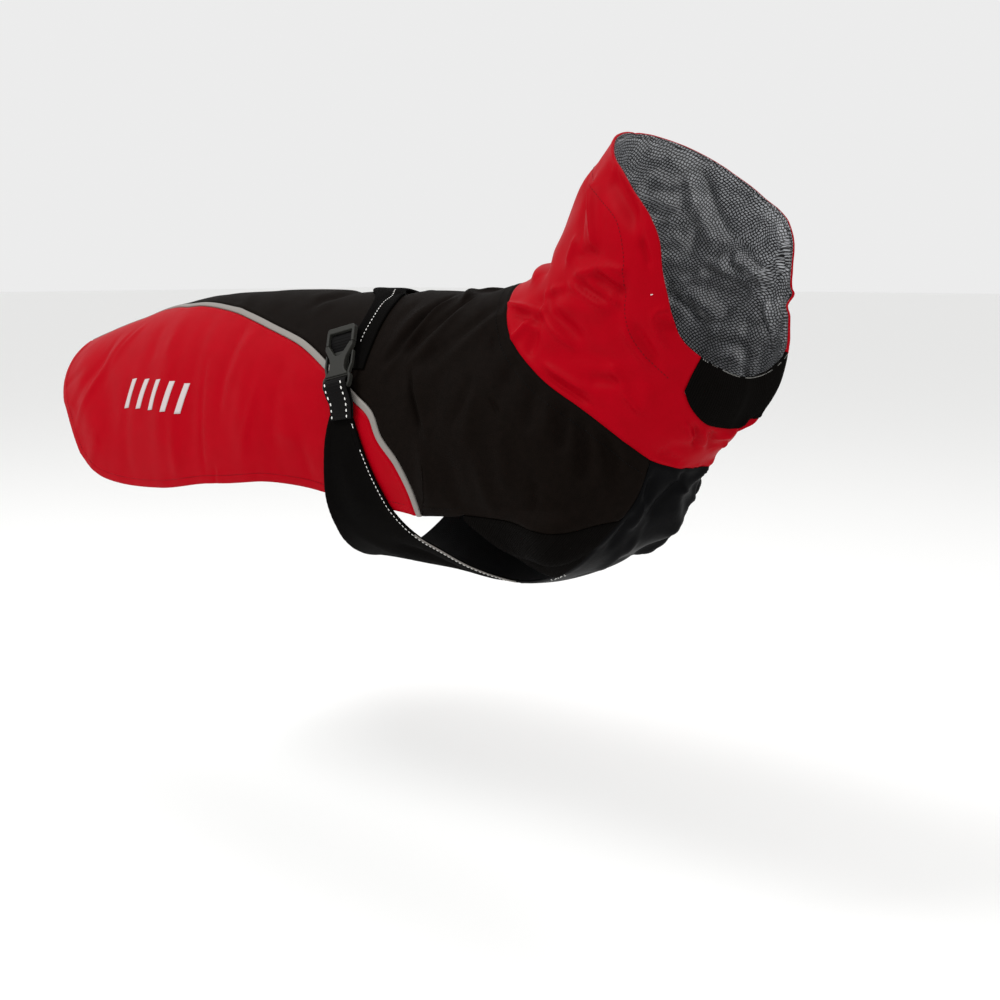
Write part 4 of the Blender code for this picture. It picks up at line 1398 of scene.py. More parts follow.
    def build_side(self, side: str, mark: float) -> list[bpy.types.Object]:
        """Make one rump panel and its piping.

        Args:
            side: the side's name.
            mark: 1 on the right, -1 on the left.

        Returns:
            The panel, its stitches, its bars and the piping.
        """
        room, cloth = self.room, self.room.cloth
        turn = np.array([1.0, mark])
        upper, lower = (self.red_side(part) for part in PIPE_PARTS)
        v, u = shares(620.0, self.grid_mm), shares(165.0, self.grid_mm)
        left, top, rear, hem = upper(v), lower(u), through(REAR_EDGE)(u), through(RUMP_HEM)(v)
        rear = rear + (left[0] - rear[0]) * (1 - u[:, None]) ** 2
        top = top + (left[-1] - top[0]) * (1 - u[:, None])
        hem = hem + (top[-1] - hem[-1]) * v[:, None] ** 4
        grid = patch(left, hem, rear, top, u, v)
        dense = np.linspace(0, 1, 400)
        pipe_side = np.concatenate([upper(dense), lower(dense)])
        outline = np.concatenate([through(REAR_EDGE)(dense)[40:], through(RUMP_HEM)(dense)[1:-4]])
        edges = ((pipe_side * turn, EdgeFinish(EdgeKind.SEAM, pucker=0.2)),
                 (outline * turn, EdgeFinish(EdgeKind.HEM, 8.5, 0.3, seed=17 + int(mark))))
        piece = SewnPiece(f"rump_panel_{side}_cloth", grid * turn, cloth["shell"], cloth["inside"], edges)
        panel = room.keep(piece.build(), "red_shell", "rump_panel_" + side)
        stitched = shifted(outline, INTO_RUMP, 7.5)[6:-6]
        thread = room.stitch("rump_topstitching_" + side, [on_cloth(stitched * turn, 0.2)], TOPSTITCH,
                             "thread_red", "red_shell")
        bars = self.bars(side, mark)
        room.declare(panel, (0.20, 0.62), round(piece.area(), 3), [thread, bars])

        pipe = self.outline()(np.linspace(0, self.piping_end, 330))
        strip = np.stack([shifted(pipe, TO_RED, w) for w in self.pipe_across], axis=1)
        tape = SewnPiece(f"piping_{side}_tape", strip * turn, cloth["tape"], cloth["tape"],
                         out=np.array(self.pipe_rise)[None, :])
        piping = room.keep(tape.build(), "reflective_piping", "piping_" + side)
        room.declare(piping, (0.01, 0.64), round(tape.area(), 4))
        return [panel, thread, bars, piping]

    def bars(self, side: str, mark: float) -> bpy.types.Object:
        """Row of plain slanted reflective bars printed on the rump panel.

        Args:
            side: the side's name.
            mark: 1 on the right, -1 on the left.

        Returns:
            All bars in one piece.
        """
        along, up = np.meshgrid(np.linspace(-0.5, 0.5, 7) * self.bar_width,
                                np.linspace(-0.5, 0.5, 13) * self.bar_height)
        slant = math.tan(math.radians(self.bar_slant_deg))
        points, faces = [], []
        for i in range(self.bar_count):
            s = self.bar_start[0] + i * self.bar_pitch + along + up * slant
            deg = (self.bar_start[1] + i * self.bar_drop - up / DEG_MM) * mark
            outer, inner = (FORM.cloth(s, deg, out) for out in self.print_mm)
            start = 2 * outer.shape[0] * outer.shape[1] * i
            faces += [[n + start for n in face] for face in wall_faces(outer, inner)[0]]
            points.append(both_faces(outer, inner))
        obj = mesh_object(f"rump_print_{side}_bars", np.concatenate(points), faces,
                          [self.room.cloth["print_grey"]])
        return self.room.keep(obj, "reflective_piping")


@dataclass
class Chest:
    """Chest panel, rib gussets in front of the legs and the belly flap."""

    room: Workroom
    rib_pitch: float = 2.4
    rib_rise: float = 0.7
    # fields along the chest panel's side: beside the back, the gusset and the flap
    fields: tuple[int, int, int] = (3, 4, 2)
    zigzag_mm: float = 1.3
    zigzag_knots: Knots = ((632, 160), (616, 163))
    # share of the flap's half length that its wing takes up
    wing_share: float = 13 / 21

    def build(self) -> list[bpy.types.Object]:
        """Make the chest pieces."""
        return [*self.panel(), *self.gussets(), *self.flap()]

    def panel(self) -> list[bpy.types.Object]:
        """Smooth chest panel from the neck seam down between the front legs."""
        room, cloth, last = self.room, self.room.cloth, sum(self.fields)
        parts = (backwards(through(CHEST_UPPER)), through(CHEST_LOWER), through(CHEST_STRIP))
        sides = joined(list(zip(parts, self.fields)))
        t = np.unique(np.concatenate([np.linspace(0, last, 73), [0.03, 0.08, 0.15, 8.97, 8.9]]))
        right = shifted(sides(t), DOWN, HALF_SEAM)
        grid = ruled(right, mirrored(right, True), shares(80.0, 2.0), t / last)
        grid[0, :, 0] -= HALF_SEAM
        sewn = EdgeFinish(EdgeKind.SEAM, pucker=0.35, reach=8, wave=9, seed=31)
        edges = on_both([(sides(np.linspace(0, last, 300)), sewn)], True)
        edges += [(grid[0], sewn), (grid[-1], sewn)]
        piece = SewnPiece("chest_panel_cloth", grid, cloth["taffeta"], cloth["inside"], edges)
        panel = room.keep(piece.build(), "chest_nylon", "chest_panel")
        zigzag = np.where(np.arange(8) % 2, self.zigzag_mm, -self.zigzag_mm)
        line = shifted(through(self.zigzag_knots)(np.linspace(0, 1, 8)), DOWN, 2 * self.zigzag_mm + zigzag)
        rows = [on_cloth(part, 0.3) for part in (line, mirrored(line, True))]
        thread = room.stitch("chest_reflective_zigzag", rows, REFLECTIVE, "thread_white")
        room.declare(panel, (0.10, 0.19), round(piece.area(), 4), [thread])
        return [panel, thread]

    def gussets(self) -> list[bpy.types.Object]:
        """Rib gussets that close round the front legs."""
        room, cloth = self.room, self.room.cloth
        u, v = np.linspace(0, 1, 330), shares(45.0, 2.2)
        free, top = through(GUSSET_FREE)(u), through(GUSSET_TOP)(u)
        start = free[0] + (top[0] - free[0]) * v[:, None]
        grid = patch(start, backwards(through(CHEST_LOWER))(v), free, top, u, v)
        grid[-1] = moved_in(grid[-1], grid[-2], 2 * HALF_SEAM)
        dense = np.linspace(0, 1, 200)
        edges = ((GUSSET_TOP, EdgeFinish(EdgeKind.SEAM, pucker=0.3)),
                 (CHEST_LOWER, EdgeFinish(EdgeKind.SEAM, pucker=0.2)),
                 (GUSSET_FREE, EdgeFinish(EdgeKind.HEM, 10.0, 0.25)))
        made = []
        for side, mark in SIDES:
            turn = np.array([1.0, mark])
            piece = SewnPiece(f"rib_gusset_{side}_knit", grid * turn, cloth["rib"], cloth["rib"],
                              [(through(knots)(dense) * turn, finish) for knots, finish in edges])
            gusset = room.keep(piece.build_ribbed(-1, self.rib_pitch, self.rib_rise), "rib_knit",
                               "rib_gusset_" + side)
            room.declare(gusset, (0.07, 0.13), round(piece.area() * RIB_TAKE_UP, 4))
            made.append(gusset)
        return made

    @staticmethod
    def flap_lift(stations: Array) -> Array:
        """Height of the flap over the form: it comes down to the chest strip that it is sewn to.

        Args:
            stations: stations, the last axis of length two.

        Returns:
            Millimetres over the coat.
        """
        joint_s, joint_deg = CHEST_STRIP[-1]
        away = np.abs(np.abs(stations[..., 1]) - 180.0) - (183.0 - joint_deg)
        near = np.maximum((joint_s - stations[..., 0]) / 30.0, away / 22.0)
        return FLAP_OUT * ease(near)

    def flap_front(self, t: Array) -> Array:
        """Front edge of the flap from the right tip (0) over the chest strip to the left tip (2).

        Args:
            t: places along the edge.

        Returns:
            A station for each place.
        """
        half, share = through(FLAP_FRONT), self.wing_share
        joint = np.array([CHEST_STRIP[-1]], float)
        cross = np.clip((t - share) / (2 - 2 * share), 0, 1)[:, None]
        out = joint * (1 - cross) + mirrored(joint, True) * cross
        out = np.where((t <= share)[:, None], half(np.clip(t / share, 0, 1)), out)
        far = mirrored(half(np.clip((2 - t) / share, 0, 1)), True)
        return np.where((t >= 2 - share)[:, None], far, out)

    def flap(self) -> list[bpy.types.Object]:
        """Belly flap: from the chest panel under the belly, up over both sides of the coat."""
        room, cloth, front = self.room, self.room.cloth, self.flap_front
        v, u = shares(440.0, 3.0), shares(60.0, 2.6)
        left = right_to_left(through(FLAP_REAR), 2 * v)
        grid = ruled(left, moved_in(front(2 * v), left, HALF_SEAM), u, v)
        dense = np.linspace(0, 2, 700)
        bound = EdgeFinish(EdgeKind.HEM, 6.0, 0.25, seed=41)
        edges = ((front(dense), bound), (right_to_left(through(FLAP_REAR), dense), bound))
        piece = SewnPiece("belly_flap_cloth", grid, cloth["double_face"], cloth["inside"], edges,
                          out=self.flap_lift(grid))
        flap = room.keep(piece.build(), "flap_knit", "belly_flap")
        rows = []
        for share in (np.linspace(0.028, 0.034, 4), np.linspace(0.095, self.wing_share, 190)):
            stitched = shifted(front(share), INTO_FLAP, 1.7)
            rows += [on_cloth(line, self.flap_lift(line) + 0.6) for line in (stitched, mirrored(stitched))]
        thread = room.stitch("flap_reflective_stitching", rows, REFLECTIVE, "thread_white")
        taped = front(np.linspace(0.34, self.wing_share, 150))
        strip = np.stack([shifted(taped, INTO_FLAP, w) for w in (-0.1, 0.1, 0.5, 1.0, 1.4, 1.6)], axis=1)
        lift = self.flap_lift(strip) + np.array([-0.1, 0.3, 0.45, 0.45, 0.3, -0.1])
        tapes = [room.keep(SewnPiece("flap_edge_tape_" + side, strip * np.array([1.0, mark]), cloth["tape"],
                                     cloth["tape"], out=lift, wall=0.5).build(), "reflective_piping")
                 for side, mark in SIDES]
        room.declare(flap, (0.18, 0.42), round(piece.area(), 4), [thread, *tapes])
        return [flap, thread, *tapes]


@dataclass
class Collar:
    """Tall red collar, the rib set into its front and the lining inside."""

    room: Workroom
    rib_pitch: float = 2.3
    rib_rise: float = 0.7
    # fields along the lower and the upper line; the free edge takes the first of the upper ones
    low_fields: tuple[int, int] = (14, 8)
    top_fields: tuple[int, int, int] = (10, 3, 9)
    top_columns: tuple[int, int, int] = (96, 22, 64)
    # two short stitches of pale thread on the collar's side
    tack: Knots = ((881.0, 113.6), (882.2, 114.2))
    # stretches of the throat's raw edge where the overlock thread shows, in columns of the rib
    overlock_shown: tuple[tuple[int, int], ...] = ((12, 34), (61, 84), (118, 196), (214, 288), (330, 352),
                                                   (391, 425))

    def lines(self) -> tuple[Line, Line]:
        """Lower and upper line of the collar's right half, counted in fields."""
        return tuple(joined([(through(knots), n) for knots, n in zip(parts, fields)])
                     for parts, fields in (((NECK_SEAM, NECK_FRONT), self.low_fields),
                                           ((COLLAR_TOP, RIB_SIDE, RIB_LOWER), self.top_fields)))

    def grid(self, v: Array) -> Array:
        """Stations of the whole ring, rows from the neck seam (0) to the free edge (1).

        Args:
            v: the rows' shares.

        Returns:
            A grid of stations.
        """
        low, top = self.lines()
        ends = np.cumsum((0, *self.top_fields))
        t = np.unique(np.concatenate([np.linspace(*span) for span in zip(ends, ends[1:], self.top_columns)]))
        half = low(t)[None] * (1 - v[:, None, None]) + top(t)[None] * v[:, None, None]
        return np.concatenate([half, mirrored(half[:, -2:0:-1], True)], axis=1)

    def build(self) -> list[bpy.types.Object]:
        """Make the collar, its facing stitches, the rib and the lining."""
        room, cloth = self.room, self.room.cloth
        grid = self.grid(shares(140.0, 1.8))
        grid[0] = moved_in(grid[0], grid[1], HALF_SEAM)
        low, top = self.lines()
        free, last = self.top_fields[0], sum(self.top_fields)
        gathered = EdgeFinish(EdgeKind.SEAM, pucker=0.55, reach=14, wave=11, seed=51)
        faced = EdgeFinish(EdgeKind.FACED, 3.0, 0.3, seed=52)
        sewn = EdgeFinish(EdgeKind.SEAM, pucker=0.3, seed=53)
        edges = on_both(((low(np.linspace(0, last, 500)), gathered), (top(np.linspace(0, free, 300)), faced),
                         (top(np.linspace(free, last, 300)), sewn)), True)
        piece = SewnPiece("collar_cloth", grid, cloth["shell"], cloth["lining"], edges, wrap=True)
        collar = room.keep(piece.build(), "red_shell", "collar")
        facing = through(COLLAR_FACING)(np.linspace(0, 1, 260))
        facing = np.concatenate([mirrored(facing)[:0:-1], facing])
        thread = room.stitch("collar_facing_stitching", [on_cloth(facing, 0.05)], TOPSTITCH, "thread_red",
                             "red_shell")
        spot = np.array(self.tack)
        tack = room.stitch("collar_thread_tack", [on_cloth(spot, 0.2), on_cloth(mirrored(spot), 0.2)], TACK,
                           "thread_white", "red_shell")
        room.declare(collar, (0.20, 0.59), round(piece.area(), 4), [thread, tack])
        return [collar, thread, tack, self.lining(), *self.throat()]

    def lining(self) -> bpy.types.Object:
        """Net lining that hangs a little loose inside the collar, down from its free edge."""
        cloth = self.room.cloth["lining"]
        inside = self.grid(shares(130.0, 2.2, False, False))
        grid = inside.copy()
        grid[0] = moved_in(inside[0], inside[1], 5.0)
        grid[-1] = moved_in(inside[-1], inside[-2], 4.0)
        at_top = ease((np.linspace(0, 1, len(grid)) - 0.9) / 0.09)[:, None]
        plain = FORM.point(grid[..., 0], grid[..., 1])
        loose = np.abs(LatticeNoise(71).at(plain / np.array([17.0, 21.0, 15.0]))) * 3.2
        loose += np.abs(LatticeNoise(72).at(plain / np.array([8.0, 7.0, 9.0]))) * 0.9
        out = (-WALL - 0.9 - loose) * (1 - at_top) + (-WALL - 0.1) * at_top
        piece = SewnPiece("collar_lining_net", grid, cloth, cloth, out=out, wall=1.0, wrap=True)
        net = self.room.keep(piece.build(), "mesh_lining", "collar_lining")
        self.room.declare(net, (0.20, 0.57), round(piece.area(), 4))
        return net

    def throat(self) -> list[bpy.types.Object]:
        """Rib knit set into the front of the collar."""
        room, cloth = self.room, self.room.cloth
        u, v = np.linspace(0, 1, 440), shares(60.0, 2.4)
        low, top = (right_to_left(through(knots), 2 * u) for knots in (RIB_LOWER, RIB_TOP))
        side = backwards(through(RIB_SIDE))(v)
        grid = patch(side, mirrored(side, True), low, top, u, v)
        grid[0] = moved_in(grid[0], grid[1], 2 * HALF_SEAM)
        edges = ((low, EdgeFinish(EdgeKind.SEAM, pucker=0.2)), (top, EdgeFinish(EdgeKind.RAW, pucker=0.3)))
        piece = SewnPiece("throat_rib_knit", grid, cloth["rib"], cloth["rib"], edges)
        throat = room.keep(piece.build_ribbed(len(v) // 2, self.rib_pitch, self.rib_rise), "rib_knit",
                           "throat_rib")
        edge = moved_in(top, low, 0.6)
        rows = [on_cloth(edge[first:last], 0.4) for first, last in self.overlock_shown]
        overlock = room.stitch("throat_rib_overlock", rows, OVERLOCK, "thread_grey", "rib_knit")
        room.declare(throat, (0.06, 0.12), round(piece.area() * RIB_TAKE_UP, 4), [overlock])
        return [throat, overlock]


@dataclass
class Harness:
    """Band over the back, webbing and the fastened side-release buckles."""

    room: Workroom
    webbing_mm: float = 1.3
    webbing_step: float = 0.45
    half_webbing: float = 12.2
    # share of the half width, and share of the thickness there
    webbing_across: tuple[float, ...] = (0.1, 0.3, 0.45, 0.6, 0.75, 0.9, 0.97, 1.0)
    webbing_thick: tuple[float, ...] = (1.0, 1.0, 1.0, 1.0, 1.0, 1.0, 0.8, 0.25)
    rib_pitch: float = 2.5
    rib_rise: float = 0.3
    dashes: int = 7
    dash_rows_mm: tuple[float, float] = (-9.8, 7.4)
    # a buckle's middle, and the stations that its long side lies between
    buckle_at: tuple[float, float] = (491.5, 58.7)
    buckle_low: tuple[float, float] = (498.0, 70.0)
    buckle_high: tuple[float, float] = (470.0, 39.5)
    buckle_size: tuple[float, float] = (0.95, 0.925)
    buckle_turn_deg: float = 9.2
    buckle_rise: float = 1.2
    # the loop round the plug's bar and the strap under the socket's bar: towards the spine, out
    loop: tuple[tuple[float, float], ...] = ((-30.0, -1.2), (-26.6, -1.2), (-23.6, -0.4), (-21.9, 1.6),
                                             (-21.9, 3.8), (-23.4, 5.6), (-26.6, 6.2), (-30.0, 5.4),
                                             (-33.5, 3.4))
    socket_strap: tuple[tuple[float, float], ...] = ((8.0, 0.2), (13.0, 1.4), (18.0, 2.4), (22.0, 2.4),
                                                     (25.5, 1.0), (29.0, -0.4), (33.0, -0.8))

    def frame(self, mark: float) -> tuple[Array, Array, Array, Array]:
        """Centre of one buckle, then across and towards the spine, both with its size, and out.

        Args:
            mark: 1 on the right, -1 on the left.

        Returns:
            The centre in millimetres and the three directions.
        """
        stations = (self.buckle_at, self.buckle_low, self.buckle_high)
        (s, deg), low, high = ((np.array(s), np.array(deg * mark)) for s, deg in stations)
        out = FORM.normal(s, deg)
        spine = FORM.point(*high) - FORM.point(*low)
        spine = spine - out * np.dot(spine, out)
        spine /= np.linalg.norm(spine)
        across = np.cross(spine, out)
        turn = math.radians(self.buckle_turn_deg) * mark
        turned = across * math.cos(turn) - spine * math.sin(turn)
        spine = spine * math.cos(turn) + across * math.sin(turn)
        wide, long = self.buckle_size
        return FORM.cloth(s, deg, BELT_OUT + self.buckle_rise), turned * wide, spine * long, out

    def build(self) -> list[bpy.types.Object]:
        """Make the band, the webbing and the buckles."""
        made = self.band()
        for side, mark in SIDES:
            made += self.webbing(side, mark)
            made += self.buckle(side, mark)
        return made

    @staticmethod
    def lift(deg: Array) -> Array:
        """Height of the band over the cloth: it bulges a little beside the spine."""
        return BELT_OUT - 1.0 + 1.6 * np.exp(-((deg - 3.0) / 9.0) ** 2)

    @staticmethod
    def over_back(line: Line, share: Array) -> Array:
        """A right half's line from its mirror's end (0) over the spine (0.5) to its own end (1)."""
        near, far = line(np.clip(2 * share - 1, 0, 1)), mirrored(line(np.clip(1 - 2 * share, 0, 1)))
        return np.where((share >= 0.5)[:, None], near, far)

    def band(self) -> list[bpy.types.Object]:
        """Black band over the back, stitched along its front edge."""
        room, cloth = self.room, self.room.cloth
        v, u, dense = shares(300.0, 3.0), shares(30.0, 2.4), np.linspace(0, 1, 500)
        rear, front = through(BELT_REAR), through(BELT_FRONT)
        grid = ruled(self.over_back(rear, v), self.over_back(front, v), u, v)
        bound = EdgeFinish(EdgeKind.HEM, 5.0, 0.2, seed=61)
        piece = SewnPiece("back_belt_cloth", grid, cloth["double_face"], cloth["double_face"],
                          [(self.over_back(line, dense), bound) for line in (rear, front)],
                          out=self.lift(grid[..., 1]), wall=1.6)
        band = room.keep(piece.build(), "flap_knit", "back_belt")
        line = through(BELT_STITCHES)(np.linspace(0, 1, 240))
        rows = [on_cloth(part, self.lift(part[:, 1]) + 0.15) for part in (line, mirrored(line))]
        thread = room.stitch("belt_reflective_stitching", rows, REFLECTIVE, "thread_white")
        room.declare(band, (0.07, 0.27), round(piece.area(), 4), [thread])
        return [band, thread]

    def strap(self, name: str, places: Array, flat: Array, rib_span: float) -> tuple:
        """Webbing along a path.

        Args:
            name: the piece's name.
            places: knots of its middle line in millimetres.
            flat: directions across it at the knots.
            rib_span: millimetres from the middle to where its ribs fade out.

        Returns:
            The piece, its length, its middle line, its directions across and its directions out.
        """
        reach = run_of(places)
        at = np.linspace(0, reach[-1], int(reach[-1] / self.webbing_step))
        flat = flat / np.linalg.norm(flat, axis=1, keepdims=True)
        middle, side = (np.stack([smooth_curve(reach, knots[:, i], at) for i in range(3)], axis=-1)
                        for knots in (places, flat))
        tangent = np.gradient(middle, axis=0)
        tangent /= np.linalg.norm(tangent, axis=1, keepdims=True)
        side -= tangent * np.sum(side * tangent, axis=1, keepdims=True)
        side /= np.linalg.norm(side, axis=1, keepdims=True)
        square = np.cross(side, tangent)
        half, rise = np.array(self.webbing_across), np.array(self.webbing_thick)
        width = np.concatenate([-half[::-1], half]) * self.half_webbing
        thick = np.concatenate([rise[::-1], rise]) * self.webbing_mm / 2
        spread = middle[:, None] + side[:, None] * width[None, :, None]
        lift = square[:, None] * thick[None, :, None]
        outer, inner = spread + lift, spread - lift
        faces, slots = wall_faces(outer, inner)
        uv = np.stack(np.broadcast_arrays(width[None], at[:, None]), axis=-1) * MM
        cloth = self.room.cloth["webbing"]
        plain = mesh_object(name, both_faces(outer, inner), faces, [cloth, cloth], both_faces(uv, uv), slots)
        place = np.broadcast_to(at[:, None, None], (len(at), len(width), 1))
        out = square[:, None] * (1 - ease((np.abs(width) - rib_span + 1.0) / 1.5))[None, :, None]
        ribbed = RibTree.raise_ribs(plain, both_faces(place, place), both_faces(out, -out), self.rib_pitch,
                                    self.rib_rise, cloth)
        return ribbed, float(reach[-1]), middle, side, square

    def declare(self, strap: bpy.types.Object, length: float,
                goes_with: Sequence[bpy.types.Object] = ()) -> None:
        """Work out a strap's flat size and area as a sheet as long as its middle line, for the room's
        declare, which does nothing with them.
        """
        area = length * 2 * self.half_webbing * MM * MM
        self.room.declare(strap, (0.025, round(length * MM, 3)), round(area, 5), goes_with)

    def webbing(self, side: str, mark: float) -> list[bpy.types.Object]:
        """Webbing from the flap's tip round the plug's bar and back, sewn down with two rows of dashes.

        Args:
            side: the side's name.
            mark: 1 on the right, -1 on the left.

        Returns:
            The webbing and its dashes.
        """
        room = self.room
        centre, across, spine, out = self.frame(mark)

        def on_flap(deg: float, rise: float) -> tuple[Array, Array]:
            """Place and direction across on the flap's tip."""
            s, angle = np.array(500.5 + (deg - 70.0) * 0.25), np.array(deg * mark)
            square = FORM.normal(s, angle)
            return FORM.cloth(s, angle, FLAP_OUT + rise), across - square * np.dot(across, square)

        knots = [on_flap(deg, 0.75) for deg in (83.0, 78.0)]
        knots += [(centre + spine * y + out * z, across) for y, z in self.loop]
        knots += [on_flap(deg, rise) for deg, rise in ((76.5, 4.4), (80.0, 3.2), (83.2, 3.0))]
        places, flats = (np.array(rows) for rows in zip(*knots))
        strap, length, middle, flat, square = self.strap(f"webbing_{side}_strap", places, flats, 6.4)
        room.keep(strap, "webbing", "webbing_" + side)
        row_mm = DASH.pitch * (self.dashes - 0.95)
        low, high = (int(len(middle) * (1 - mm / length)) for mm in (row_mm + 2.2, 2.2))
        middle, flat, square = middle[low:high], flat[low:high], square[low:high]
        rows = [(middle + flat * place * mark - square * (self.webbing_mm / 2 + 0.1), -square)
                for place in self.dash_rows_mm]
        dashes = room.stitch("webbing_dashes_" + side, rows, DASH, "thread_white")
        self.declare(strap, length, [dashes])
        return [strap, dashes]

    def buckle(self, side: str, mark: float) -> list[bpy.types.Object]:
        """Fastened side-release buckle: the socket's frame and fork above, the plug's base below.

        Args:
            side: the side's name.
            mark: 1 on the right, -1 on the left.

        Returns:
            The socket, the plug and the strap under the socket's bar.
        """
        room = self.room
        centre, across, spine, out = self.frame(mark)
        matrix = Matrix(((*across, 0), (*spine, 0), (*out, 0), (0, 0, 0, 1))).transposed()
        matrix = Matrix.Translation(Vector(centre * MM)) @ matrix
        made = []
        for part, plates in (("socket", SOCKET_PLATES), ("plug", PLUG_PLATES)):
            name = f"buckle_{part}_{side}"
            body = moulding(name + "_body", plates, room.cloth["buckle"], matrix)
            made.append(room.keep(body, "buckle_plastic", name))
        knots = np.array([centre + spine * y + out * z for y, z in self.socket_strap])
        strap, length, *_ = self.strap("socket_strap_" + side, knots, np.array([across] * len(knots)), 10.0)
        room.keep(strap, "webbing")
        self.declare(strap, length)
        return [*made, strap]


Outline = tuple[tuple[float, float], ...]


class Plate(NamedTuple):
    """Outlines of one moulded plate with the height of its underside and its thickness."""

    outlines: tuple[Outline, ...]
    low: float
    thick: float


def both_ways(half: Outline) -> Outline:
    """Whole outline of a right half, its points on the middle line kept once."""
    return half + tuple((-x, y) for x, y in reversed(half) if x > 0)


# Right halves of the buckle's outlines, across and towards the spine, from the top down.
SOCKET_FRAME: Outline = ((0, 31), (13.4, 31), (15.4, 29.8), (16, 27.6), (16, 13.6), (13, 13.6), (13, 24.6),
                         (12.4, 25.6), (0, 25.6))
SOCKET_FORK: Outline = ((2.2, 1.2), (4.2, 2.2), (12.2, 13), (16, 13), (15.6, 9), (9.6, -1), (8.4, -5.5),
                        (8.4, -11.5), (9.6, -14.6), (12.6, -17.6), (12.6, -19.2), (0, -19.2))
PLUG_BASE: Outline = ((0, -17.2), (12.8, -17.2), (15, -18.4), (15.8, -21), (15.4, -27.6), (14.2, -30.4),
                      (12.6, -31), (0, -31))
PLUG_SLOT: Outline = ((0, -20.6), (13.2, -20.6), (13.2, -27.4), (0, -27.4))
PLUG_TONGUE: Outline = ((0, 8), (8, 8), (9, 4), (9, -18), (0, -18))
# Both sides have a prong, so its outline is whole.
PLUG_PRONG: Outline = ((11, -18), (13.6, -18), (14.6, -13), (16, -9), (16.1, 3.4), (15.2, 5), (14.2, 3.4),
                       (13.9, -8), (12.2, -13))
SOCKET_PLATES = (Plate((both_ways(SOCKET_FRAME),), 0.8, 4.6), Plate((both_ways(SOCKET_FORK),), 1.2, 4.6))
PLUG_PLATES = (Plate((both_ways(PLUG_BASE), both_ways(PLUG_SLOT)), 0.2, 4.4),
               Plate((PLUG_PRONG,), 0.6, 3.4), Plate((tuple((-x, y) for x, y in PLUG_PRONG),), 0.6, 3.4),
               Plate((both_ways(PLUG_TONGUE),), 0.1, 1.0))


def moulding(name: str, plates: Sequence[Plate], material: bpy.types.Material,
             matrix: Matrix) -> bpy.types.Object:
    """Moulded part of a few flat plates with rounded edges.

    Args:
        name: the object's name.
        plates: the plates, in millimetres.
        material: the part's material.
        matrix: where the plates' plane lies.

    Returns:
        One mesh at the origin with its place in its vertices.
    """
    points, faces = [], []
    for plate in plates:
        mesh = plate_mesh(name + "_plate", plate, min(0.7, plate.thick * 0.3))
        mesh.transform(matrix @ Matrix.Translation((0, 0, (plate.low + plate.thick / 2) * MM)))
        start = len(points)
        points += [v.co[:] for v in mesh.vertices]
        faces += [[start + n for n in p.vertices] for p in mesh.polygons]
        bpy.data.meshes.remove(mesh)
    obj = mesh_object(name, np.array(points) / MM, faces, [material])
    obj.data.shade_flat()
    return obj


def plate_mesh(name: str, plate: Plate, bevel: float) -> bpy.types.Mesh:
    """Flat moulded plate with rounded edges, its middle plane at zero.

    Args:
        name: the mesh's name.
        plate: the outer outline, then its holes, and the thickness, in millimetres.
        bevel: radius of the edges in millimetres.

    Returns:
        The plate's mesh.
    """
    curve = bpy.data.curves.new(name, "CURVE")
    curve.dimensions, curve.fill_mode = "2D", "BOTH"
    curve.extrude = (plate.thick / 2 - bevel) * MM
    curve.bevel_depth, curve.bevel_resolution = bevel * MM, 3
    curve.offset = -bevel * MM
    for outline in plate.outlines:
        spline = curve.splines.new("POLY")
        spline.points.add(len(outline) - 1)
        for point, (x, y) in zip(spline.points, outline):
            point.co = (x * MM, y * MM, 0, 1)
        spline.use_cyclic_u = True
    return finished_mesh(placed(name, curve), name)


# ---------------------------------------------------------------- the studio


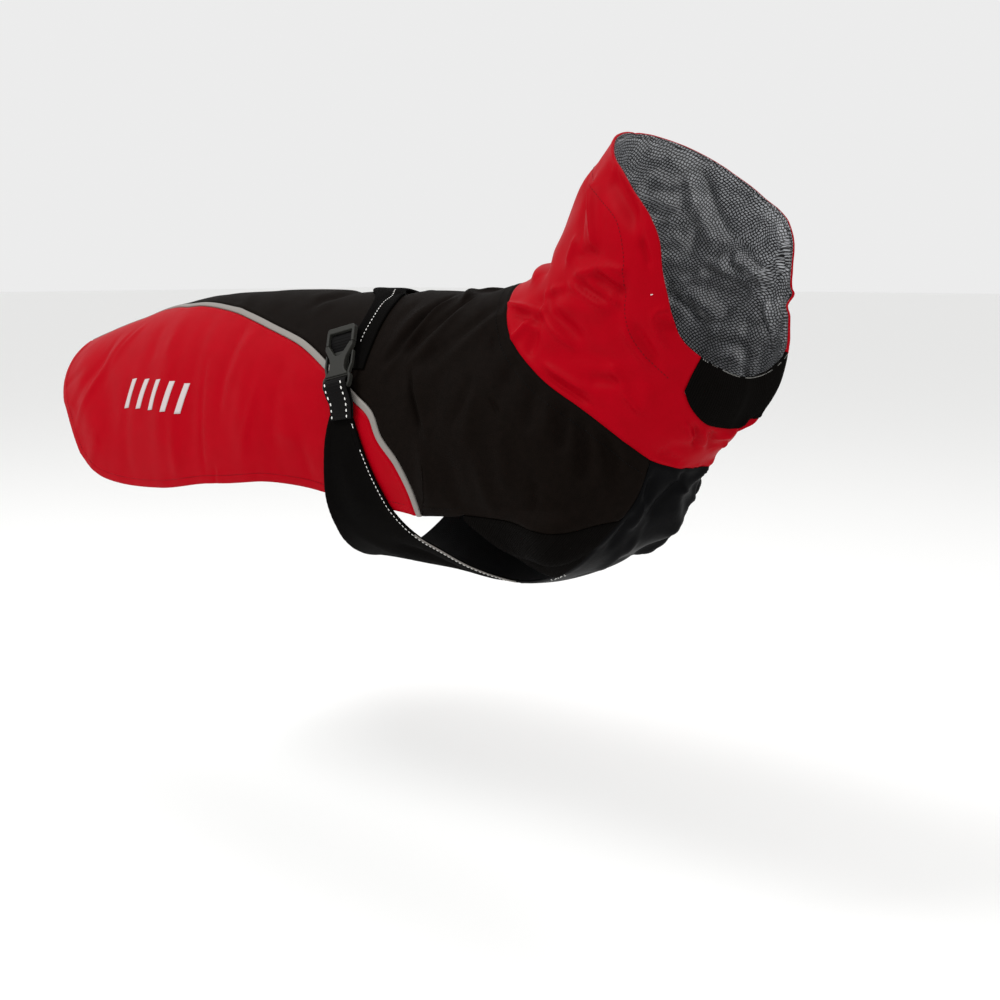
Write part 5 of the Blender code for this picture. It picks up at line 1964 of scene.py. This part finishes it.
@dataclass(frozen=True)
class Studio:
    """Floor, light and the camera at the photograph's angle."""

    floor_half: float = 30.0
    camera_mm: tuple[float, float, float] = (734.0, -848.0, 20.0)
    yaw_deg: float = 40.0
    pitch_deg: float = 10.03
    focal_px: float = 1300.0
    photo_px: float = 1000.0
    sensor_mm: float = 36.0
    lit: tuple[float, float, float] = (-0.05, 0.0, -0.1)
    # name, place, power and size of each light
    lamps: tuple[tuple[str, tuple[float, float, float], float, float], ...] = (
        ("key_light", (-0.9, -1.3, 1.7), 28.0, 0.8), ("top_light", (0.1, 0.5, 2.0), 10.0, 1.2),
        ("front_light", (1.8, -0.6, 0.9), 4.0, 1.2))

    def build(self) -> None:
        """Set up the stage."""
        self.floor()
        self.lights()
        self.camera()
        scene = bpy.context.scene
        scene.view_settings.view_transform = "Standard"
        scene.view_settings.look = "None"

    def floor(self) -> None:
        """Plain pale floor under the coat."""
        size = self.floor_half
        mesh = bpy.data.meshes.new("studio_floor")
        mesh.from_pydata([(-size, -size, FLOOR_Z), (size, -size, FLOOR_Z), (size, size, FLOOR_Z),
                          (-size, size, FLOOR_Z)], [], [(0, 1, 2, 3)])
        material, shader = new_material("painted_floor_pale", 0.9, 0.5)
        shader.inputs["Base Color"].default_value = linear("#F8F8F7")
        mesh.materials.append(material)
        placed("studio_floor", mesh)

    def lights(self) -> None:
        """Soft white light from above and from the camera's side, and an even pale surround."""
        world = bpy.data.worlds.new("studio_surround")
        world.use_nodes = True
        back = world.node_tree.nodes["Background"]
        back.inputs["Color"].default_value = linear("#FFFFFF")
        back.inputs["Strength"].default_value = 0.84
        bpy.context.scene.world = world
        for name, place, power, size in self.lamps:
            data = bpy.data.lights.new(name, "AREA")
            data.energy, data.size = power, size
            light = placed(name, data)
            light.location = place
            light.rotation_euler = (Vector(self.lit) - Vector(place)).to_track_quat("-Z", "Y").to_euler()

    def camera(self) -> None:
        """Camera at the photograph's viewing angle, with no shift."""
        data = bpy.data.cameras.new("photo_camera")
        data.sensor_width = self.sensor_mm
        data.lens = self.focal_px / self.photo_px * self.sensor_mm
        data.clip_start, data.clip_end = 0.05, 100.0
        yaw, pitch = math.radians(self.yaw_deg), math.radians(self.pitch_deg)
        right = Vector((math.cos(yaw), math.sin(yaw), 0))
        level = Vector((-math.sin(yaw), math.cos(yaw), 0))
        forward = level * math.cos(pitch) - Vector((0, 0, 1)) * math.sin(pitch)
        up = level * math.sin(pitch) + Vector((0, 0, 1)) * math.cos(pitch)
        turn = Matrix((right, up, -forward)).transposed().to_4x4()
        camera = placed("photo_camera", data)
        camera.matrix_world = Matrix.Translation(Vector(self.camera_mm) * MM) @ turn
        bpy.context.scene.camera = camera


def main() -> None:
    """Load the frame, dress it and set the stage."""
    logging.basicConfig(level=logging.INFO, format="%(name)s %(message)s")
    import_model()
    room = Workroom()
    for part in (Back(room), Chest(room), Collar(room), Harness(room)):
        made = part.build()
        log.info("%s: %d pieces", type(part).__name__, len(made))
    Studio().build()
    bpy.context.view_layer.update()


if __name__ == "__main__":
    main()
